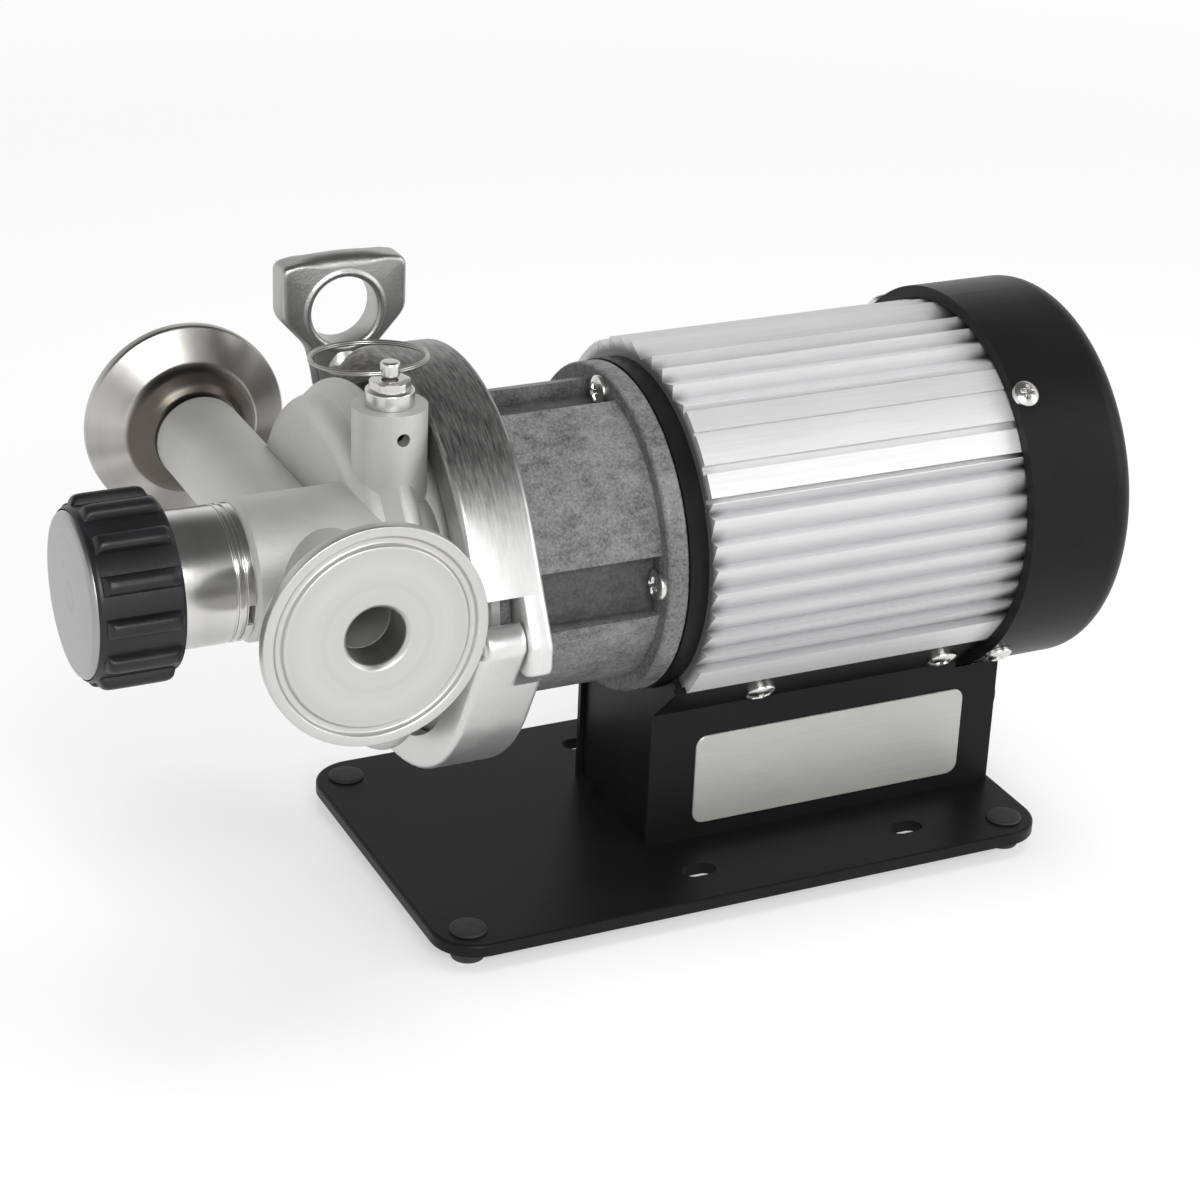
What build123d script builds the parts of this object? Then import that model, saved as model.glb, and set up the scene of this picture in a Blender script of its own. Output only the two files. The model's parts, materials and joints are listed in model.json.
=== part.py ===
from build123d import *
from math import cos, radians, sin, sqrt, tan
import os

# A brewing pump: a cast sanitary pump head held by a band clamp to a magnetic-drive motor on a stand.
# Millimetres. Origin: centre of the four mounting slots on the underside of the base plate.
# +X runs along the motor axis from the pump head to the fan, +Z is up.

os.makedirs("parts", exist_ok=True)

# Base plate and feet
plate_length = 163.0
plate_width = 96.4
plate_thick = 3.0
plate_corner = 11.0
plate_shift = -18.4
slot_spacing_x = 57.7
slot_spacing_y = 70.0
slot_length = 8.8
slot_width = 5.4
foot_inset = 8.4
foot_height = 4.0
foot_radius = 6.0
foot_head_radius = 4.5
foot_head_height = 0.9
foot_stem_radius = 2.6

# Heights and stations along the motor axis
axis_height = 81.2
shield_front = -38.2
adapter_length = 49.6

# Clearances
face_gap = 0.1
slip = 0.05
loose = 0.3

# Pedestal, a folded sheet box whose top flanges cradle the motor
box_width = 41.2
box_length = 97.6
box_sheet = 1.5
box_setback = 1.9
cradle_angle = 45.0
cradle_edge = 0.4
end_wall_inset = 1.2
box_flange = 8.0
box_screw_radius = 1.5
box_screw_inset = 12.0
cradle_screw_inset = 25.8
cradle_screw_spacing = 51.0
cradle_screw_drop = 7.6

# Cable gland in the pedestal's end wall, and what the pedestal holds
gland_height = 18.0
gland_thread_radius = 6.0
gland_nut_radius = 8.6
gland_length = 12.0
gland_bore_radius = 3.2
gland_inner = 5.0
capacitor_radius = 12.0
capacitor_length = 38.0
terminal_length = 24.0
terminal_width = 14.0
terminal_height = 12.0
capacitor_setback = 12.0
terminal_gap = 3.9

# Motor
shield_radius = 40.0
shield_thick = 4.7
shield_spigot = 3.0
housing_length = 88.0
housing_bore_radius = 37.0
housing_wall = 4.3
fin_depth = 3.3
flat_depth = 1.7
fin_pitch = 5.7
fin_rows_up = 3
fin_rows_down = 4
top_fin_rows = 4
band_grooves = ((28.3, 1.2, 3.5), (37.7, 2.0, 1.8), (49.2, 0.7, 0.8))
rear_shield_thick = 4.0
rear_shield_step = 1.6
stator_length = 52.0
stator_start = 14.0
stator_inner_radius = 19.0
winding_overhang = 9.0
winding_outer_radius = 33.5
air_gap = 0.4
shaft_radius = 4.0
shaft_overhang_front = 9.0
shaft_overhang_rear = 15.0
bearing_radius = 11.0
bearing_width = 7.0

# Fan and fan cover
cover_rim = 3.3
cover_length = 29.8
cover_overlap = 5.5
cover_wall = 1.8
cover_edge_radius = 6.0
grille_slots = 18
grille_slot_width = 2.6
grille_rings = ((14.0, 24.0), (28.0, 38.0))
fan_blades = 8
fan_radius = 38.0
fan_hub_radius = 9.0
fan_width = 10.0
fan_blade_thick = 1.6

# Adapter bracket between motor and pump head
adapter_flange_radius = 39.7
adapter_flange_thick = 5.3
adapter_body_radius = 36.0
adapter_bore_radius = 29.0
adapter_channel_radius = 31.0
adapter_channel_width = 15.0
adapter_neck_radius = 38.0
screw_circle = 68.5
pan_head_radius = 3.1
pan_head_height = 2.2
pan_shank_radius = 1.9
pan_shank_length = 8.0

# Sanitary clamp joint between pump head and adapter
clamp_flange_radius = 45.2
clamp_flange_rim = 2.0
clamp_flange_angle = 20.0
clamp_wall = 4.2
clamp_edge = 1.6
clamp_width = 17.0
clamp_lip_radius = 41.4
clamp_split = 1.2
hinge_reach = 2.1
hinge_rise = 0.5
hinge_lug_radius = 4.5
hinge_pin_radius = 2.0
bolt_reach = 5.6
bolt_pivot_drop = 8.0
bolt_radius = 3.0
bolt_eye_radius = 5.0
bolt_top = 30.0
ear_top_radius = 16.0
ear_width = 14.0
washer_radius = 5.9
washer_thick = 1.5
nut_crown = 56.4
nut_half_width = 16.0
nut_hole_radius = 8.5
nut_hole_height = 42.4
nut_sag = 2.6
nut_shoulder = 38.5
nut_foot = 27.0
nut_plate_thick = 9.0
nut_neck_radius = 4.9
nut_base_radius = 5.8

# Magnetic coupling
can_radius = 21.5
can_wall = 0.8
can_depth = 31.0
can_flange_radius = 39.6
can_flange_thick = 2.0
outer_magnet_thick = 3.5
outer_hub_thick = 2.2
magnet_gap = 0.8
magnet_length = 24.0
magnet_count = 8

# Pump head casting
volute_radius = 43.4
volute_front_radius = 40.4
volute_depth = 27.0
volute_neck = 14.0
volute_neck_radius = 37.0
volute_edge = 5.0
chamber_radius = 33.0
chamber_depth = 19.5
impeller_radius = 31.0
impeller_vanes = 6
ceramic_radius = 4.0
gasket_radius = 36.0
gasket_width = 2.6
gasket_depth = 2.2

# Inlet
inlet_x = -120.9
inlet_rise = 9.3
inlet_tube_radius = 10.9
inlet_bore_radius = 8.0
inlet_face = 76.8
ferrule_radius = 25.25
ferrule_rim = 2.85
inlet_cone_length = 9.0

# Valve, across the front of the head
valve_y = -20.9
valve_rise = 13.1
valve_body_radius = 16.0
valve_body_start = -141.0
valve_body_end = -95.5
valve_dome = 8.0
valve_chamber_radius = 8.5
valve_seat_radius = 5.5
valve_seat_x = -116.5
valve_seat_thick = 3.0
bonnet_radius = 15.3
bonnet_length = 22.5
bonnet_spigot_radius = 12.0
bonnet_spigot_length = 7.0
stem_radius = 4.0
knob_radius = 19.6
knob_rib_radius = 2.6
knob_ribs = 13
knob_length = 19.0
knob_cap_radius = 18.5
knob_cap_thick = 3.0
knob_skirt = 7.0
bonnet_show = 16.5
valve_lift = 6.0

# Outlet
outlet_x = -123.8
outlet_face = -63.2
outlet_bore_radius = 6.65
outlet_neck_radius = 12.0
outlet_pocket = 1.2
outlet_cone_length = 6.0

# Air vent on top of the valve body
vent_x = -104.8
vent_y = -21.0
vent_boss_radius = 8.4
vent_boss_top = 47.5
vent_bore_radius = 5.0
vent_floor = 34.0
gusset_top = 38.0
gusset_reach = 15.0
gusset_thick = 2.4
vent_hole_radius = 1.5
vent_hole_height = 42.0
vent_cap_radius = 4.4
vent_cap_flange_radius = 8.0
vent_cap_top = 53.2
vent_pin_top = 57.4
vent_eye_height = 55.0
vent_eye_radius = 1.3
vent_ring_radius = 13.0
vent_wire_radius = 0.42
vent_ring_tilt = 6.0

# Derived stations and radii
housing_root_radius = housing_bore_radius + housing_wall
housing_tip_radius = housing_root_radius + fin_depth
housing_flat = housing_tip_radius - flat_depth
rear_shield_radius = housing_tip_radius - rear_shield_step
cover_radius = housing_tip_radius + cover_rim
clamp_outer_radius = clamp_flange_radius + clamp_wall
hinge_offset = clamp_outer_radius + hinge_reach
bolt_offset = clamp_outer_radius + bolt_reach
head_joint = shield_front - adapter_length
housing_start = shield_front + shield_thick
housing_end = housing_start + housing_length
cover_start = housing_end - cover_overlap
cover_end = cover_start + cover_length
box_front = shield_front + box_setback
box_end = box_front + box_length
foot_span_x = plate_length - 2 * foot_inset
foot_span_y = plate_width - 2 * foot_inset

motor_axis = Axis((0, 0, axis_height), (1, 0, 0))
lengthwise = Plane(origin=(0, 0, axis_height), x_dir=(1, 0, 0), z_dir=(0, -1, 0))


def across(x):
    # Plane square to the motor axis, centred on it: local x is +Y, local y is +Z
    return Plane(origin=(x, 0, axis_height), x_dir=(0, 1, 0), z_dir=(1, 0, 0))


def ring(x0, x1, r_in, r_out, mode=Mode.ADD):
    # Section of a plain ring that is turned about the local x axis of the sketch
    Polygon((x0, r_in), (x1, r_in), (x1, r_out), (x0, r_out), mode=mode)


def polar_block(angle, near, far, left, right, mode=Mode.ADD):
    # Four-sided patch between two distances along a direction, from left to right of it
    ux, uy = cos(radians(angle)), sin(radians(angle))
    corners = ((near, right), (far, right), (far, left), (near, left))
    Polygon(*[(d * ux - s * uy, d * uy + s * ux) for d, s in corners], mode=mode)


def pan_screw(shank_length):
    # Pan-head screw at the current place: head above the local XY plane, shank below it
    base = (Align.CENTER, Align.CENTER, Align.MIN)
    Cylinder(pan_head_radius, 0.55 * pan_head_height, align=base)
    with Locations((0, 0, 0.55 * pan_head_height)):
        Cone(pan_head_radius, 0.62 * pan_head_radius, 0.45 * pan_head_height, align=base)
    Cylinder(pan_shank_radius, shank_length, align=(Align.CENTER, Align.CENTER, Align.MAX))


def finish(piece, label):
    # Name the piece and write it out
    piece.part.label = label
    export_step(piece.part, "parts/" + label + ".step")


# Base plate with four slots, four foot holes and four holes for the pedestal screws
box_middle = (box_front + box_end) / 2
box_screw_span_x = box_length - 2 * box_screw_inset
box_screw_span_y = box_width - 2 * box_sheet - box_flange

with BuildPart() as base_plate:
    with BuildSketch():
        with Locations((plate_shift, 0)):
            RectangleRounded(plate_length, plate_width, plate_corner)
        with GridLocations(slot_spacing_x, slot_spacing_y, 2, 2):
            SlotOverall(slot_length, slot_width, mode=Mode.SUBTRACT)
        with Locations((plate_shift, 0)):
            with GridLocations(foot_span_x, foot_span_y, 2, 2):
                Circle(foot_stem_radius + slip, mode=Mode.SUBTRACT)
        with Locations((box_middle, 0)):
            with GridLocations(box_screw_span_x, box_screw_span_y, 2, 2):
                Circle(box_screw_radius + slip, mode=Mode.SUBTRACT)
    extrude(amount=plate_thick)
    outer_wire = base_plate.faces().sort_by(Axis.Z)[-1].outer_wire()
    fillet(outer_wire.edges(), radius=0.8)
finish(base_plate, "base_plate")

# Rubber feet: a pad below the plate, a stem through it and a snap head on top
with BuildPart() as rubber_feet:
    with BuildSketch():
        with Locations((plate_shift, 0)):
            with GridLocations(foot_span_x, foot_span_y, 2, 2):
                Circle(foot_radius)
    extrude(amount=-foot_height, taper=10)
    with BuildSketch():
        with Locations((plate_shift, 0)):
            with GridLocations(foot_span_x, foot_span_y, 2, 2):
                Circle(foot_stem_radius)
    extrude(amount=plate_thick)
    with BuildSketch(Plane.XY.offset(plate_thick)):
        with Locations((plate_shift, 0)):
            with GridLocations(foot_span_x, foot_span_y, 2, 2):
                Circle(foot_head_radius)
    extrude(amount=foot_head_height, taper=30)
finish(rubber_feet, "rubber_feet")

# Pedestal: side walls rise from the plate, then fold outwards to lie against the motor's lower flats
cradle_face = housing_flat + box_sheet
fold_y = box_width / 2
fold_z = sqrt(2) * cradle_face - fold_y
edge_y = (cradle_face + cradle_edge) / sqrt(2)
edge_z = (cradle_face - cradle_edge) / sqrt(2)
wall_foot = plate_thick - axis_height
inner_fold_z = fold_z - box_sheet * tan(radians(cradle_angle / 2))
inner_edge_y = edge_y - box_sheet / sqrt(2)
inner_edge_z = edge_z - box_sheet / sqrt(2)

def cradle_plane(side):
    # Outer face of one cradle flange, facing down and out on the side given as -1 or 1
    reach = cradle_face / sqrt(2)
    return Plane(origin=(0, side * reach, axis_height - reach), x_dir=(1, 0, 0), z_dir=(0, side, -1))


def cradle_screw_places(side):
    first = box_front + cradle_screw_inset
    return [(first, side * cradle_screw_drop), (first + cradle_screw_spacing, side * cradle_screw_drop)]


cradle_screw_depth = box_sheet + 4.5

with BuildPart() as pedestal_box:
    with BuildSketch(across(box_front)):
        Polygon((fold_y, wall_foot), (fold_y, -fold_z), (edge_y, -edge_z),
                       (inner_edge_y, -inner_edge_z), (fold_y - box_sheet, -inner_fold_z),
                       (fold_y - box_sheet, wall_foot + box_sheet),
                       (fold_y - box_sheet - box_flange, wall_foot + box_sheet),
                       (fold_y - box_sheet - box_flange, wall_foot))
        mirror(about=Plane.YZ)
    extrude(amount=box_length)
    end_wall_top = -shield_radius - 1.0
    with BuildSketch(across(box_front + end_wall_inset)):
        Polygon((-fold_y, wall_foot), (fold_y, wall_foot),
                       (fold_y, end_wall_top), (-fold_y, end_wall_top))
    extrude(amount=box_sheet)
    with BuildSketch(across(box_end - end_wall_inset - box_sheet)):
        Polygon((-fold_y, wall_foot), (fold_y, wall_foot),
                       (fold_y, -fold_z), (-fold_y, -fold_z))
    extrude(amount=box_sheet)
    with BuildSketch(across(cover_start - loose)):
        Circle(cover_radius + 2 * loose)
    extrude(amount=cover_length, mode=Mode.SUBTRACT)
    with BuildSketch(Plane.XY.offset(plate_thick)):
        with Locations((box_middle, 0)):
            with GridLocations(box_screw_span_x, box_screw_span_y, 2, 2):
                Circle(box_screw_radius + slip)
    extrude(amount=box_sheet, mode=Mode.SUBTRACT)
    for side in (-1, 1):
        with Locations(cradle_plane(side)):
            with Locations(*cradle_screw_places(side)):
                Hole(pan_shank_radius + slip, 2 * box_sheet)
    with BuildSketch(Plane.YZ.offset(box_end)):
        with Locations((0, gland_height)):
            Circle(gland_thread_radius + slip)
    extrude(amount=-end_wall_inset - 2 * box_sheet, mode=Mode.SUBTRACT)
finish(pedestal_box, "pedestal_box")

# Screws that hold the pedestal to the plate, heads underneath
with BuildPart() as pedestal_screws:
    with BuildSketch():
        with Locations((box_middle, 0)):
            with GridLocations(box_screw_span_x, box_screw_span_y, 2, 2):
                Circle(2 * box_screw_radius)
    extrude(amount=-box_screw_radius, taper=20)
    with BuildSketch():
        with Locations((box_middle, 0)):
            with GridLocations(box_screw_span_x, box_screw_span_y, 2, 2):
                Circle(box_screw_radius)
    extrude(amount=plate_thick + 2 * box_sheet)
finish(pedestal_screws, "pedestal_screws")


with BuildPart() as cradle_screws:
    for side in (-1, 1):
        with Locations(cradle_plane(side)):
            with Locations(*cradle_screw_places(side)):
                pan_screw(cradle_screw_depth)
finish(cradle_screws, "cradle_screws")

# Motor housing: an extruded tube, saw-tooth fins level on the sides and upright on top,
# flat bands between them, and two lower flats that rest on the cradle
fin_reach = housing_tip_radius + 3.0
lowest_band = band_grooves[0][0] - 1.0
highest_band = 57.0


def tooth_gap(step, next_step, side, upright):
    # Gap between one tooth's square face and the sloping back of the next tooth
    root = sqrt(housing_root_radius ** 2 - step ** 2)
    tip = sqrt(housing_tip_radius ** 2 - next_step ** 2)
    gap = [(root, step), (fin_reach, step), (fin_reach, next_step), (tip, next_step)]
    if upright:
        gap = [(s, r) for r, s in gap]
    Polygon(*[(side * u, v) for u, v in gap], mode=Mode.SUBTRACT)


def cover_screw_places():
    # Places on the cover's rim, each with local Z pointing straight out from the motor axis
    places = []
    for angle in (45, 135, 225, 315):
        outward = (0, cos(radians(angle)), sin(radians(angle)))
        foot = (cover_start + cover_overlap / 2, cover_radius * outward[1], axis_height + cover_radius * outward[2])
        places.append(Plane(origin=foot, x_dir=(1, 0, 0), z_dir=outward))
    return places


cover_screw_depth = cover_radius - housing_flat + 3.0
with BuildPart() as motor_housing:
    with BuildSketch(across(housing_start)):
        Circle(housing_tip_radius)
        for side in (-1, 1):
            for row in range(-fin_rows_down, fin_rows_up):
                tooth_gap(row * fin_pitch, (row + 1) * fin_pitch, side, False)
            last_side = housing_tip_radius * sin(radians(lowest_band))
            tooth_gap(fin_rows_up * fin_pitch, last_side, side, False)
            for row in range(top_fin_rows):
                tooth_gap(row * fin_pitch, (row + 1) * fin_pitch, side, True)
            last_top = housing_tip_radius * cos(radians(highest_band))
            tooth_gap(top_fin_rows * fin_pitch, last_top, side, True)
        for angle, width, depth in band_grooves:
            for bearing in (angle, 180 - angle):
                polar_block(bearing, housing_tip_radius - depth, fin_reach, width / 2, -width / 2, Mode.SUBTRACT)
        flat_above = cradle_edge + 0.6
        polar_block(-45, housing_flat, fin_reach, flat_above, -fin_reach / 2, Mode.SUBTRACT)
        polar_block(-135, housing_flat, fin_reach, fin_reach / 2, -flat_above, Mode.SUBTRACT)
        Circle(housing_bore_radius, mode=Mode.SUBTRACT)
    extrude(amount=housing_length)
    for side in (-1, 1):
        with Locations(cradle_plane(side)):
            with Locations(*cradle_screw_places(side)):
                Hole(pan_shank_radius + slip, cradle_screw_depth + 1.0)
    for place in cover_screw_places():
        with Locations(place):
            Hole(pan_shank_radius + slip, cover_screw_depth + 1.0)
finish(motor_housing, "motor_housing")

# Cable gland through the rear end wall, with a dome nut outside and a lock nut inside
gland_wall = box_end - end_wall_inset
with BuildPart() as cable_gland:
    with BuildSketch(Plane.YZ.offset(gland_wall)):
        with Locations((0, gland_height)):
            RegularPolygon(gland_nut_radius, 6)
    extrude(amount=0.4 * gland_length)
    with BuildSketch(Plane.YZ.offset(gland_wall + 0.4 * gland_length)):
        with Locations((0, gland_height)):
            Circle(gland_nut_radius * 0.86)
    extrude(amount=0.6 * gland_length, taper=16)
    with BuildSketch(Plane.YZ.offset(gland_wall)):
        with Locations((0, gland_height)):
            Circle(gland_thread_radius)
    extrude(amount=-box_sheet - gland_inner)
    with BuildSketch(Plane.YZ.offset(gland_wall - box_sheet)):
        with Locations((0, gland_height)):
            RegularPolygon(gland_nut_radius, 6)
    extrude(amount=-3.0)
    with BuildSketch(Plane.YZ.offset(gland_wall + gland_length)):
        with Locations((0, gland_height)):
            Circle(gland_bore_radius)
    extrude(amount=-gland_length - box_sheet - gland_inner, mode=Mode.SUBTRACT)
finish(cable_gland, "cable_gland")

# Run capacitor lying on the plate inside the pedestal
with BuildPart() as run_capacitor:
    with BuildSketch(Plane.YZ.offset(box_front + capacitor_setback)):
        with Locations((0, plate_thick + capacitor_radius)):
            Circle(capacitor_radius)
    extrude(amount=capacitor_length)
    fillet(run_capacitor.edges().filter_by(GeomType.CIRCLE), radius=1.5)
finish(run_capacitor, "run_capacitor")

# Terminal block behind it
terminal_middle = gland_wall - box_sheet - gland_inner - terminal_gap - terminal_length / 2
with BuildPart() as terminal_block:
    with BuildSketch(Plane.XY.offset(plate_thick)):
        with Locations((terminal_middle, 0)):
            Rectangle(terminal_length, terminal_width)
    extrude(amount=terminal_height)
    with Locations((terminal_middle, 0, plate_thick + terminal_height)):
        with GridLocations(terminal_length / 3, 0, 3, 1):
            Cylinder(2.2, terminal_height, mode=Mode.SUBTRACT)
finish(terminal_block, "terminal_block")

# Front end shield with its spigot and bearing pocket
front_bearing_start = housing_start - 3.0
with BuildPart() as front_shield:
    with BuildSketch(lengthwise):
        ring(shield_front, housing_start, shaft_radius + 1.0, shield_radius)
        ring(housing_start, housing_start + shield_spigot, housing_bore_radius - 5.0, housing_bore_radius - slip)
        ring(housing_start, front_bearing_start + bearing_width, bearing_radius, bearing_radius + 3.0)
        ring(front_bearing_start, housing_start, 0, bearing_radius, Mode.SUBTRACT)
    revolve(axis=motor_axis)
    with BuildSketch(across(shield_front)):
        with PolarLocations(screw_circle / 2, 4):
            Circle(pan_shank_radius + slip)
    extrude(amount=shield_thick, mode=Mode.SUBTRACT)
finish(front_shield, "front_shield")

# Rear end shield
rear_bearing_start = housing_end - 4.0
with BuildPart() as rear_shield:
    with BuildSketch(lengthwise):
        ring(housing_end, housing_end + rear_shield_thick, shaft_radius + 1.0, rear_shield_radius)
        ring(housing_end - shield_spigot, housing_end, housing_bore_radius - 5.0, housing_bore_radius - slip)
        ring(rear_bearing_start, housing_end, bearing_radius, bearing_radius + 3.0)
        ring(housing_end, rear_bearing_start + bearing_width, 0, bearing_radius, Mode.SUBTRACT)
    revolve(axis=motor_axis)
finish(rear_shield, "rear_shield")

# Bearings, one in each shield
with BuildPart() as front_bearing:
    with BuildSketch(lengthwise):
        ring(front_bearing_start, front_bearing_start + bearing_width, shaft_radius + slip, bearing_radius - slip)
    revolve(axis=motor_axis)
finish(front_bearing, "front_bearing")

with BuildPart() as rear_bearing:
    with BuildSketch(lengthwise):
        ring(rear_bearing_start, rear_bearing_start + bearing_width, shaft_radius + slip, bearing_radius - slip)
    revolve(axis=motor_axis)
finish(rear_bearing, "rear_bearing")

# Stator core and its end windings
stator_begin = housing_start + stator_start
stator_end = stator_begin + stator_length
with BuildPart() as stator_core:
    with BuildSketch(lengthwise):
        ring(stator_begin, stator_end, stator_inner_radius, housing_bore_radius - slip)
    revolve(axis=motor_axis)
finish(stator_core, "stator_core")

with BuildPart() as stator_windings:
    with BuildSketch(lengthwise):
        ring(stator_begin - winding_overhang, stator_begin, stator_inner_radius + 2.0, winding_outer_radius)
        ring(stator_end, stator_end + winding_overhang, stator_inner_radius + 2.0, winding_outer_radius)
    revolve(axis=motor_axis)
    fillet(stator_windings.edges().filter_by(GeomType.CIRCLE), radius=2.5)
finish(stator_windings, "stator_windings")

# Rotor: shaft, core and the hub that carries the drive magnets
shaft_front = shield_front - shaft_overhang_front
shaft_rear = housing_end + shaft_overhang_rear
with BuildPart() as motor_shaft:
    with BuildSketch(lengthwise):
        ring(shaft_front, shaft_rear, 0, shaft_radius)
        ring(stator_begin - 4.0, stator_end + 4.0, 0, shaft_radius + 2.0)
    revolve(axis=motor_axis)
finish(motor_shaft, "motor_shaft")

with BuildPart() as rotor_core:
    with BuildSketch(lengthwise):
        ring(stator_begin, stator_end, shaft_radius + 2.0 + slip, stator_inner_radius - air_gap)
    revolve(axis=motor_axis)
finish(rotor_core, "rotor_core")

outer_magnet_inner = can_radius + magnet_gap
outer_magnet_outer = outer_magnet_inner + outer_magnet_thick
hub_back = head_joint + can_flange_thick + can_depth + 3.0
magnet_start = head_joint + can_flange_thick + 3.0
with BuildPart() as magnet_hub:
    with BuildSketch(lengthwise):
        ring(magnet_start, hub_back, outer_magnet_outer, outer_magnet_outer + outer_hub_thick)
        ring(hub_back - 3.0, hub_back, shaft_radius + slip, outer_magnet_outer + outer_hub_thick)
        ring(hub_back - 3.0, shield_front - 2.0, shaft_radius + slip, shaft_radius + 5.0)
    revolve(axis=motor_axis)
    fillet(magnet_hub.edges().filter_by(GeomType.CIRCLE).sort_by(Axis.X)[:1], radius=0.5)
finish(magnet_hub, "magnet_hub")

with BuildPart() as drive_magnets:
    with BuildSketch(across(magnet_start)):
        Circle(outer_magnet_outer - slip)
        Circle(outer_magnet_inner, mode=Mode.SUBTRACT)
        with PolarLocations(outer_magnet_outer, magnet_count):
            Rectangle(2 * outer_magnet_thick + 2.0, 1.0, mode=Mode.SUBTRACT)
    extrude(amount=magnet_length)
finish(drive_magnets, "drive_magnets")

# Cooling fan on the rear end of the shaft
fan_start = housing_end + rear_shield_thick + 2.0
with BuildPart() as cooling_fan:
    with BuildSketch(across(fan_start)):
        Circle(fan_hub_radius)
        with PolarLocations(0, fan_blades):
            with Locations(((fan_radius + fan_hub_radius) / 2 - 1.0, 0)):
                Rectangle(fan_radius - fan_hub_radius + 2.0, fan_blade_thick)
        Circle(shaft_radius + slip, mode=Mode.SUBTRACT)
    extrude(amount=fan_width)
    with BuildSketch(across(fan_start)):
        Circle(fan_radius - 6.0)
        Circle(shaft_radius + slip, mode=Mode.SUBTRACT)
    extrude(amount=1.5)
finish(cooling_fan, "cooling_fan")

# Fan cover: a deep cup with a rounded rear edge and slotted air inlet, its rim over the fins
cover_bore = cover_radius - cover_wall
rim_bore = housing_tip_radius + loose
with BuildPart() as fan_cover:
    with BuildSketch(lengthwise):
        ring(cover_start, cover_end, 0, cover_radius)
    revolve(axis=motor_axis)
    fillet(fan_cover.faces().sort_by(Axis.X)[-1].edges(), radius=cover_edge_radius)
    with BuildSketch(lengthwise):
        ring(cover_start - 1.0, housing_end, 0, rim_bore)
        ring(housing_end, cover_end - cover_wall, 0, cover_bore - 3.0)
        ring(housing_end, cover_end - cover_edge_radius, 0, cover_bore)
    revolve(axis=motor_axis, mode=Mode.SUBTRACT)
    with BuildSketch(across(cover_end)):
        Circle(shaft_radius)
        for inner, outer in grille_rings:
            with PolarLocations((inner + outer) / 2, grille_slots):
                SlotOverall(outer - inner, grille_slot_width)
    extrude(amount=-2 * cover_wall, mode=Mode.SUBTRACT)
    for place in cover_screw_places():
        with Locations(place):
            Hole(pan_shank_radius + slip, 2 * cover_wall + 2.0)
finish(fan_cover, "fan_cover")


with BuildPart() as fan_cover_screws:
    for place in cover_screw_places():
        with Locations(place):
            pan_screw(cover_screw_depth)
finish(fan_cover_screws, "fan_cover_screws")

# Adapter bracket: clamp flange, body with four screw channels, motor flange
adapter_front = head_joint + face_gap
flange_slope = tan(radians(clamp_flange_angle))
neck_step = (clamp_flange_radius - adapter_neck_radius) * flange_slope
adapter_flange_start = shield_front - adapter_flange_thick
channel_start = adapter_front + clamp_width / 2 + 0.5
recess_floor = head_joint + can_flange_thick
with BuildPart() as adapter_bracket:
    with BuildSketch(lengthwise):
        Polygon((adapter_front, can_flange_radius + loose), (adapter_front, clamp_flange_radius),
                (adapter_front + clamp_flange_rim, clamp_flange_radius),
                (adapter_front + clamp_flange_rim + neck_step, adapter_neck_radius),
                (channel_start, adapter_neck_radius), (channel_start, adapter_body_radius),
                (adapter_flange_start, adapter_body_radius), (adapter_flange_start, adapter_flange_radius),
                (shield_front, adapter_flange_radius), (shield_front, adapter_bore_radius),
                (recess_floor, adapter_bore_radius), (recess_floor, can_flange_radius + loose))
    revolve(axis=motor_axis)
    with BuildSketch(across(channel_start)):
        with PolarLocations(adapter_channel_radius + 10.0, 4):
            Rectangle(20.0, adapter_channel_width)
    extrude(amount=adapter_flange_start - channel_start, mode=Mode.SUBTRACT)
    rims = adapter_bracket.edges().filter_by(GeomType.CIRCLE)
    fillet(rims.filter_by(lambda e: abs(e.radius - adapter_flange_radius) < 0.01), radius=0.8)
    with BuildSketch(across(adapter_flange_start)):
        with PolarLocations(screw_circle / 2, 4):
            Circle(pan_shank_radius + slip)
    extrude(amount=adapter_flange_thick, mode=Mode.SUBTRACT)
finish(adapter_bracket, "adapter_bracket")

adapter_screw_depth = adapter_flange_thick + shield_thick - 0.6
with BuildPart() as adapter_screws:
    with Locations(Plane(origin=(adapter_flange_start, 0, axis_height), x_dir=(0, 0, 1), z_dir=(-1, 0, 0))):
        with PolarLocations(screw_circle / 2, 4):
            pan_screw(adapter_screw_depth)
finish(adapter_screws, "adapter_screws")

# Separation can between the wet chamber and the drive magnets
can_end = head_joint + can_flange_thick + can_depth
can_socket = can_end - 5.0
with BuildPart() as separation_can:
    with BuildSketch(lengthwise):
        ring(head_joint, head_joint + can_flange_thick, can_radius - can_wall, can_flange_radius)
        ring(head_joint + can_flange_thick, can_end, can_radius - can_wall, can_radius)
        ring(can_end - 1.2, can_end, 0, can_radius)
        ring(can_socket, can_end, ceramic_radius + slip, ceramic_radius + 2.5)
    revolve(axis=motor_axis)
finish(separation_can, "separation_can")

with BuildPart() as head_gasket:
    with BuildSketch(lengthwise):
        ring(head_joint - gasket_depth, head_joint,
             gasket_radius - gasket_width / 2, gasket_radius + gasket_width / 2)
    revolve(axis=motor_axis)
finish(head_gasket, "head_gasket")

# Fixed ceramic shaft with a thrust washer at each end of the impeller
chamber_front = head_joint - chamber_depth
ceramic_front = chamber_front + 4.0
bushing_front = ceramic_front + 2.6
bushing_back = can_socket - 1.6
with BuildPart() as impeller_shaft:
    with BuildSketch(lengthwise):
        ring(ceramic_front, can_end - 1.2, 0, ceramic_radius)
    revolve(axis=motor_axis)
    chamfer(impeller_shaft.edges().filter_by(GeomType.CIRCLE).sort_by(Axis.X)[:1], length=0.6)
finish(impeller_shaft, "impeller_shaft")

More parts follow.
